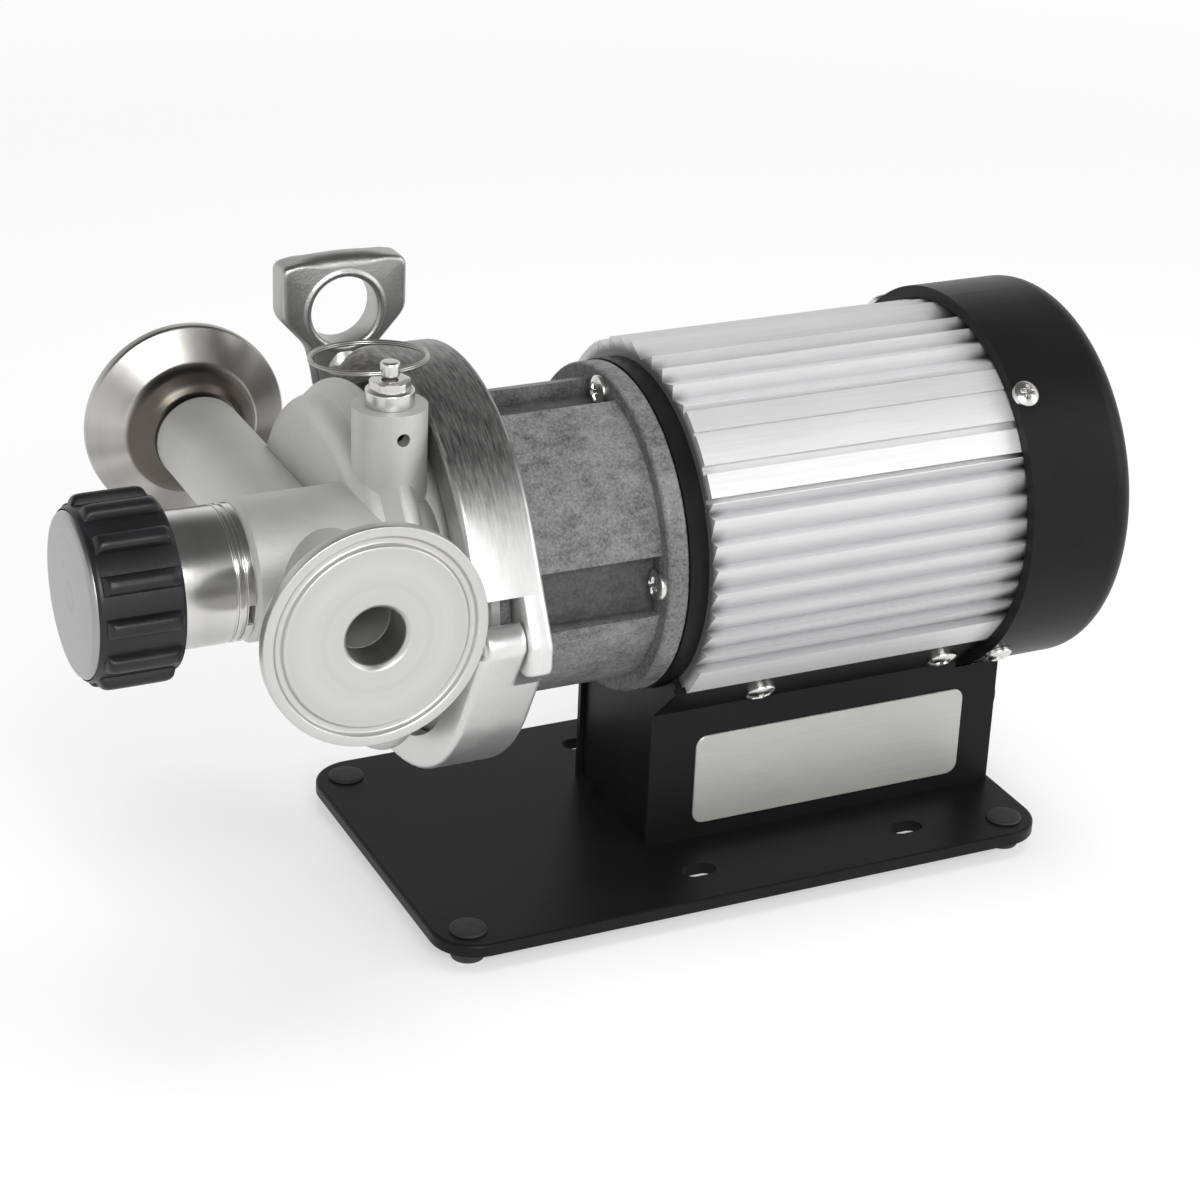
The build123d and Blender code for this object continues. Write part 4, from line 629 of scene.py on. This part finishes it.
def split_ring(centre, tilt, radius, wire, turns=1.95):
    """Wire of oval section along a flat helix: centre + R (cos f, sin f) in the ring's plane, rising two
    wire radii in all, closed at each end by a rounded cap whose section shrinks as sqrt(1 - t^2)."""
    f = np.linspace(0.0, 2 * np.pi * turns, 190)
    end = np.sqrt(1 - np.linspace(1, 0, 6) ** 2)
    ease = np.concatenate([end, np.ones(len(f) - 2 * len(end)), end[::-1]])
    e1, e2 = np.array([1.0, 0, 0]), np.array([0, math.cos(tilt), -math.sin(tilt)])
    n = np.cross(e1, e2)
    start = math.radians(205)
    out = np.cos(f + start)[:, None] * e1 + np.sin(f + start)[:, None] * e2
    spine = np.array(centre) + radius * out + n * ((f / f[-1] - 0.5) * 2.0 * wire)[:, None]
    around = np.linspace(0, 2 * np.pi, 12, endpoint=False)
    return (spine[:, None, :] + (wire * ease)[:, None, None]
            * (np.cos(around)[None, :, None] * out[:, None, :] * 1.15 + np.sin(around)[None, :, None] * n))


ring_centre = (VENT[0], VENT[1] + RING_RADIUS * math.cos(RING_TILT),
               AXIS + RING_HEIGHT - RING_RADIUS * math.sin(RING_TILT))
skin("stepped_vent_cap", [turned(vent_cap, VENT, 2, 144, hexagon)], "pump_body", vent_steel,
     ("vent_cap",), sharp=28.0)
skin("vent_pull_pin", [turned(pin, VENT, 2, 64)], "vent_pin", vent_steel,
     ("vent_pin",), close_u=False)
skin("split_pull_ring", [split_ring(ring_centre, RING_TILT, RING_RADIUS, RING_WIRE)], "vent_ring",
     ring_steel, ("vent_ring",), close_u=False)


# Wing nut: flat casting with a raised rim round the finger hole, rounded edges and a turned stem

NUT = (CLAMP_X, 55.0, 0.0)                       # a point on the nut's line, along z


def nut_plate(hole=8.5, centre=42.4, half=4.5):
    """Loop of sections from hole to outline and back, for each direction from the hole's centre. The
    outline's radius is read by angle off its rounded polygon, drawn in at the faces over the crown."""
    edge = np.array([(0, 56.4), (7.0, 56.1), (15.9, 54.4), (15.9, 41.2), (8.2, 32.6), (6.6, 26.5),
                     (5.6, 20.0), (0, 20.0)])
    edge[:, 1] -= centre
    edge = eased(np.concatenate([edge, (edge * (-1, 1))[-2:0:-1]]), 2.2, 6)
    fine = np.linspace(0.0, 1.0, 16, endpoint=False)[:, None]
    edge = np.concatenate([a + (b - a) * fine for a, b in zip(edge, np.roll(edge, -1, axis=0))])
    angle = np.unwrap(np.arctan2(edge[:, 0], edge[:, 1])) % (2 * np.pi)
    order = np.argsort(angle)
    turn = np.linspace(0, 2 * np.pi, 360, endpoint=False)
    outline = np.interp(turn, angle[order], np.hypot(edge[:, 0], edge[:, 1])[order], period=2 * np.pi)
    crown = smooth_step((np.cos(turn) - 0.72) / 0.2)
    inner = [(0, 0.0), (0, half - 1.1), (0.2, half - 0.45), (0.7, half - 0.08), (1.1, half),
             (1.5, half - 0.08), (1.9, half - 0.4), (2.3, half - 0.5)]
    outer = [(1.5, half - 0.5), (0.9, half - 0.58), (0.4, half - 0.85), (0.1, half - 1.3), (0, half - 1.9),
             (0, 0.3 * half)]
    rows = [(hole + inset + 0 * outline, y) for inset, y in inner]
    rows += [(np.maximum(outline - inset - 1.9 * crown * (y / half) ** 2, hole + 2.5), y)
             for inset, y in outer]
    rows += [(r, -y) for r, y in rows[:0:-1]]
    radius = np.array([r for r, y in rows])
    depth = np.array([y for r, y in rows])[:, None] + 0 * turn
    across, up = NUT[0] + radius * np.sin(turn), AXIS + centre + radius * np.cos(turn)
    return np.stack([across, NUT[1] + depth, up], axis=-1)


stem = eased([(9.7, 3.1), (9.7, 5.7), (12.6, 5.7), (15.4, 4.9), (22.0, 4.9), (29.0, 5.9), (32.8, 4.0),
              (31.4, 3.1)], 1.0, 4) + (AXIS, 0.0)
skin("cast_wing_nut", [nut_plate(), turned(stem, NUT, 2, 72)], "wing_nut", finishes["nut_steel"],
     ("wing_nut",), sharp=42.0)


# Clamp halves: channel section carried round the motor's line, flared to the hinge, half-lapped there

BAND, LIP, GROOVE, INSIDE = 49.4, 41.4, 45.7, 46.9       # radii: band, lip, groove's floor, lap's inside
HALF_WIDTH, LIP_HALF, FLANGE_HALF, EDGE = 8.5, 4.1, 2.5, 1.6
LAP_LOW, LAP_HIGH = 2.1, 2.5                             # where each half ends at the lap, across the band
LUG, TONGUE_END, FOOT_ROUND = 56.0, 7.4, 2.2             # the upper half's tongue beside the hinge pin
KNUCKLE, KNUCKLE_RISE, KNUCKLE_RADIUS = 51.5, 0.5, 4.5   # the lower half's end, rounded about the pin
SPLIT, NOTCH, SHOULDER = (math.degrees(math.asin(rise / BAND)) for rise in (1.2, 10.2, 10.5))
FULL_STEPS = 84
BOLT_PIN = (55.0, -8.0)                                  # y and z of the swing bolt's pin from the axis
EAR_SIDES = ((-7.0, -3.3), (3.3, 7.0))


def clamp_sections(turn, outer, left, right, inner_left, inner_right):
    """Closed channel section at each turn (degrees up from the hinge side): up the left wall, over the
    band with quarter rounds of radius EDGE, down the right wall, and back through the groove. Each end
    is closed to a point within its section."""
    arc = np.linspace(0.0, np.pi / 2, 6)
    x, r = [left], [inner_left]
    for t in arc:
        x.append(left + EDGE * (1 - np.cos(t)))
        r.append(outer - EDGE * (1 - np.sin(t)))
    for t in arc[::-1]:
        x.append(right - EDGE * (1 - np.cos(t)))
        r.append(outer - EDGE * (1 - np.sin(t)))
    x.append(right)
    r.append(inner_right)
    for place in (LIP_HALF, FLANGE_HALF, -FLANGE_HALF, -LIP_HALF):
        x.append(np.clip(place + 0 * turn, left, right))
        beside = inner_right if place > 0 else inner_left
        r.append(np.maximum(beside, GROOVE) if abs(place) == FLANGE_HALF else beside)
    x, r = np.stack(x, axis=1), np.stack(r, axis=1)
    t = np.radians(turn)[:, None]
    grid = np.stack([CLAMP_X + x, -r * np.cos(t), AXIS + r * np.sin(t)], axis=-1)
    left_wall, right_wall = grid[:, 3:4], grid[:, 13:14]
    middle = 0.5 * (left_wall + right_wall)
    first, last = (np.repeat(middle[k:k + 1], grid.shape[1], axis=1) for k in (0, -1))
    return np.concatenate([first, grid, last])


def flare(turn):
    """Band radius: the ring's own, and within 28 degrees of the hinge the tangent to the lug's face."""
    lean = math.degrees(math.acos(BAND / LUG))
    away = np.clip(lean - np.abs(turn), 0.0, lean)
    return BAND / np.cos(np.radians(away))


def upper_half():
    """Tongue below the hinge with a rounded foot, right half with lip to the notch, then full width."""
    bend = np.radians(np.linspace(90.0, 0.0, 7))
    foot_y = LUG - FOOT_ROUND * (1 - np.cos(bend))
    foot_z = FOOT_ROUND * (1 - np.sin(bend)) - TONGUE_END
    foot = np.degrees(np.arctan2(foot_z, foot_y))
    tongue = np.linspace(foot[-1] + 0.8, SPLIT, 6)
    step = np.array([SPLIT, 0.5 * (SPLIT + NOTCH), NOTCH])
    full = np.linspace(NOTCH, 180 - SPLIT, FULL_STEPS)
    lengths = (len(foot), len(tongue), len(step), len(full))
    turn = np.concatenate([foot, tongue, step, full])
    tongue_face = np.where(tongue < 0, LUG / np.cos(np.radians(tongue)), flare(tongue))
    outer = np.concatenate([np.hypot(foot_y, foot_z), tongue_face, flare(step), flare(full)])
    left = np.repeat([LAP_HIGH, LAP_HIGH, LAP_HIGH, -HALF_WIDTH], lengths)
    inner_left = np.repeat([INSIDE, INSIDE, GROOVE, LIP], lengths)
    inner_right = np.repeat([INSIDE, INSIDE, LIP, LIP], lengths)
    return clamp_sections(turn, outer, left, HALF_WIDTH + 0 * turn, inner_left, inner_right)


def lower_half():
    """Full width to the shoulder, left half with lip to the split, then a knuckle rounded about the pin."""
    full = np.linspace(SPLIT - 180, -SHOULDER, FULL_STEPS)
    step = np.array([-SHOULDER, -0.6 * SHOULDER, -SPLIT])
    bend = np.radians(np.linspace(-10.0, 90.0, 16))
    reach, top_z = KNUCKLE_RADIUS * np.cos(bend), KNUCKLE_RISE + KNUCKLE_RADIUS * np.sin(bend)
    knuckle = np.degrees(np.arctan2(top_z, KNUCKLE + reach))
    near = np.maximum(np.hypot(KNUCKLE - reach, top_z), INSIDE)
    lengths = (len(full), len(step), len(knuckle))
    turn = np.concatenate([full, step, knuckle])
    outer = np.concatenate([flare(full), flare(step), np.hypot(KNUCKLE + reach, top_z)])
    right = np.repeat([HALF_WIDTH, LAP_LOW, LAP_LOW], lengths)
    left = np.repeat([-HALF_WIDTH, -HALF_WIDTH, 0.8 - HALF_WIDTH], lengths)
    inner_left = np.concatenate([LIP + 0 * full, LIP + 0 * step, near])
    inner_right = np.concatenate([LIP + 0 * full, GROOVE + 0 * step, near])
    return clamp_sections(turn, outer, left, right, inner_left, inner_right)


def slab(outline, low, high, edge=0.7):
    """Plate between two x planes with the outline (y, z), its rims drawn in towards the middle."""
    middle = outline.mean(axis=0)
    way = middle - outline
    way /= np.linalg.norm(way, axis=1)[:, None]
    rows = []
    for x, inset in ((low, None), (low, edge), (low + 0.3 * edge, 0.3 * edge), (low + edge, 0.0),
                     (high - edge, 0.0), (high - 0.3 * edge, 0.3 * edge), (high, edge), (high, None)):
        flat = middle + 0 * outline if inset is None else outline + way * inset
        rows.append(np.stack([np.full(len(flat), CLAMP_X + x), flat[:, 0], AXIS + flat[:, 1]], axis=1))
    return np.array(rows)


def arc_points(centre, radius, first, last):
    """Points on a circle from one angle to another, in degrees."""
    t = np.radians(np.linspace(first, last, 14))
    return np.stack([centre[0] + radius * np.cos(t), centre[1] + radius * np.sin(t)], axis=1)


upper_ear = np.concatenate([[(45.0, 1.2), (60.4, 1.2)], arc_points(BOLT_PIN, 16.0, 68.0, 120.0),
                            [(45.0, 7.5)]])
lower_ear = np.concatenate([[(45.5, -2.2), (55.0, -3.0)], arc_points(BOLT_PIN, 5.0, 80.0, -80.0),
                            [(55.0, -13.0), (44.5, -15.0)]])
skin("clamp_half_upper", [upper_half()] + [slab(upper_ear, *side) for side in EAR_SIDES], "clamp_upper",
     finishes["clamp_steel"], ("clamp_upper",), close_u=False)
skin("clamp_half_lower", [lower_half()] + [slab(lower_ear, *side) for side in EAR_SIDES], "pump_body",
     finishes["clamp_steel"], ("clamp_lower",), close_u=False)


# Pedestal: top of its front wall, between the motor's front shield and the cradle

def front_saddle(inner=40.15, flat=42.9, wall_top=41.0, front=-35.1, back=-33.6):
    """Band between an arc and the cradle's two flats, f from straight down: outer radius is the smaller of
    flat / cos(45 - f) and wall_top / cos(f)."""
    f = np.radians(np.linspace(-44.0, 44.0, 90))
    outer = np.minimum(flat / np.cos(np.radians(45) - np.abs(f)), wall_top / np.cos(f))
    loops = [np.stack([0 * f + x, r * np.sin(f), AXIS - r * np.cos(f)], axis=1)
             for x, r in ((front, inner + 0 * f), (front, outer), (back, outer), (back, inner + 0 * f))]
    grid = np.stack(loops, axis=1)
    middle = grid.mean(axis=1, keepdims=True) + 0 * grid
    return np.concatenate([middle[:1], grid, middle[-1:]])


skin("front_saddle", [front_saddle()], "pump_body", finishes["black_coat"], close_u=False)


# Rubber feet: tapered pad below the plate, low domed head on top of it

PLATE_MIDDLE, FOOT_X, FOOT_Y = -18.4, 73.1, 39.8
foot_low = 1000 * cad_low[2]
foot = eased([(foot_low, 0.0), (foot_low, 4.0), (-0.02, 4.7), (-0.02, 2.6), (3.02, 2.6), (3.02, 4.5),
              (3.5, 4.45), (3.75, 3.9), (3.9, 2.0), (3.92, 0.0)], 0.3, 4, closed=False)
feet = [turned(foot, (x, y, 0.0), 2, 48)
        for x in (PLATE_MIDDLE - FOOT_X, PLATE_MIDDLE + FOOT_X) for y in (-FOOT_Y, FOOT_Y)]
skin("rubber_foot_set", feet, "pump_body", foot_rubber, ("rubber_feet",), close_u=False)


# Bare plate on the pedestal's near wall

def name_plate(x0, x1, z0, z1, wall, thick=0.45, corner=3.0):
    """Rounded rectangle: its outline at four levels, drawn in by 0.15 at the face, closed to its centre."""
    t = np.linspace(0, np.pi / 2, 9)
    arcs = []
    for i, (x, z) in enumerate(((x1 - corner, z1 - corner), (x0 + corner, z1 - corner),
                                (x0 + corner, z0 + corner), (x1 - corner, z0 + corner))):
        turn = t + i * np.pi / 2
        arcs.append(np.stack([x + corner * np.cos(turn), z + corner * np.sin(turn)], axis=1))
    outline = np.concatenate(arcs)
    middle = np.array([(x0 + x1) / 2, (z0 + z1) / 2])
    half = np.array([(x1 - x0) / 2, (z1 - z0) / 2])
    rows = []
    for inset, level in ((None, 0.0), (0, 0.0), (0, thick - 0.15), (0.15, thick), (1.6, thick),
                         (None, thick)):
        scale = 0.0 if inset is None else 1 - inset / half
        flat = middle + (outline - middle) * scale
        rows.append(np.stack([flat[:, 0], np.full(len(flat), wall - level), flat[:, 1]], axis=1))
    return np.array(rows)


skin("bare_name_plate", [name_plate(x0=-24.0, x1=51.5, z0=7.2, z1=31.2, wall=-20.62)], "pump_body",
     name_plate_sheet(), close_u=False)


# Stage, lights and camera, in metres

AMBIENT = 0.45           # strength of the world's soft grey light
CEILING = 0.12           # brightness of the ceiling that mirrors see
FLOOR_HALF = 4.0
AIM = (-0.05, 0.0, 0.08)


def floor_finish():
    """Pale floor: part of what the camera and mirrors see of it is plain white, the rest the lit surface,
    so that it keeps the object's shadow; far from the object the white takes over."""
    f = Finish("pale_floor", (0.93, 0.93, 0.93), roughness=0.7)
    path = f.tree.nodes.new("ShaderNodeLightPath")
    seen = Signal(f, path.outputs["Is Camera Ray"]) + Signal(f, path.outputs["Is Glossy Ray"])
    seen = seen + Signal(f, path.outputs["Is Transmission Ray"])
    far = f.radius_from((-0.02, 0.0, 0.0), 2).clear(0.3, 1.1)
    white = f.node("ShaderNodeEmission", {})
    lit = Signal(f, f.shader.outputs[0])
    f.feed(f.output.inputs[0], f.node("ShaderNodeMixShader", {}, seen * (0.5 + 0.5 * far), lit, white))
    return f.material


def stage_plane(name, half, z, material):
    """Flat square at height z."""
    mesh = bpy.data.meshes.new(name)
    corners = [(-half, -half, z), (half, -half, z), (half, half, z), (-half, half, z)]
    mesh.from_pydata(corners, [], [(0, 1, 2, 3)])
    piece = bpy.data.objects.new(name, mesh)
    bpy.context.collection.objects.link(piece)
    mesh.materials.append(material)


def studio_world():
    """White backdrop to the camera and through glass. Mirrors see the same white at the level of the
    object and a dim ceiling above it. All other light from it is a plain soft grey."""
    world = bpy.data.worlds.new("studio")
    bpy.context.scene.world = world
    world.use_nodes = True
    tree = world.node_tree
    tree.nodes.clear()

    def made(kind, **settings):
        node = tree.nodes.new(kind)
        for key, value in settings.items():
            setattr(node, key, value)
        return node

    def light(strength):
        node = made("ShaderNodeBackground")
        node.inputs[0].default_value = (1.0, 1.0, 1.0, 1.0)
        node.inputs[1].default_value = strength
        return node

    path = made("ShaderNodeLightPath")
    white, soft, mirrored = light(1.0), light(AMBIENT), light(1.0)
    direction = made("ShaderNodeTexCoord")
    axes = made("ShaderNodeSeparateXYZ")
    ceiling = made("ShaderNodeMapRange", interpolation_type="SMOOTHSTEP")
    for socket, value in zip(list(ceiling.inputs)[1:5], (0.2, 0.85, 1.0, CEILING)):
        socket.default_value = value
    seen = made("ShaderNodeMath", operation="MAXIMUM")
    first, second = made("ShaderNodeMixShader"), made("ShaderNodeMixShader")
    output = made("ShaderNodeOutputWorld")
    for start, end in (
            (direction.outputs["Generated"], axes.inputs[0]), (axes.outputs[2], ceiling.inputs[0]),
            (ceiling.outputs[0], mirrored.inputs[1]), (path.outputs["Is Camera Ray"], seen.inputs[0]),
            (path.outputs["Is Transmission Ray"], seen.inputs[1]),
            (path.outputs["Is Glossy Ray"], first.inputs[0]), (soft.outputs[0], first.inputs[1]),
            (mirrored.outputs[0], first.inputs[2]), (seen.outputs[0], second.inputs[0]),
            (first.outputs[0], second.inputs[1]), (white.outputs[0], second.inputs[2]),
            (second.outputs[0], output.inputs[0])):
        tree.links.new(start, end)


def softbox(name, position, size, power, mirrored=True):
    """Area lamp of a size at position, facing the object, seen in mirrors or not."""
    lamp = bpy.data.lights.new(name, "AREA")
    lamp.shape = "RECTANGLE"
    lamp.size, lamp.size_y = size
    lamp.energy = power
    lamp_object = bpy.data.objects.new(name, lamp)
    bpy.context.collection.objects.link(lamp_object)
    lamp_object.location = position
    lamp_object.visible_glossy = mirrored
    lamp_object.rotation_euler = (Vector(AIM) - Vector(position)).to_track_quat("-Z", "Y").to_euler()


def camera_at(place, across, back, lens):
    """Camera with its frame's right and the direction behind it; up is square to both."""
    across, back = Vector(across).normalized(), Vector(back).normalized()
    up = back.cross(across).normalized()
    camera_data = bpy.data.cameras.new("camera")
    camera_data.lens = lens
    camera_data.sensor_width = 36.0
    camera = bpy.data.objects.new("camera", camera_data)
    bpy.context.collection.objects.link(camera)
    rows = [(*row, end) for *row, end in zip(across, up, back, place)]
    camera.matrix_world = Matrix(rows + [(0, 0, 0, 1)])
    bpy.context.scene.camera = camera


stage_plane("floor", FLOOR_HALF, cad_low[2] - 0.0001, floor_finish())
studio_world()
softbox("key_box", (-0.25, -0.95, 0.65), (0.6, 0.35), 6.8)
softbox("top_box", (0.1, 0.1, 1.1), (0.9, 0.6), 7.0, mirrored=False)
softbox("right_box", (0.9, -0.6, 0.5), (0.5, 0.8), 3.0)
camera_at((-0.3311, -0.5887, 0.3688), (0.9045, -0.4249, 0.0386), (-0.3999, -0.8127, 0.4239), lens=90.0)
bpy.context.scene.view_settings.view_transform = "Standard"
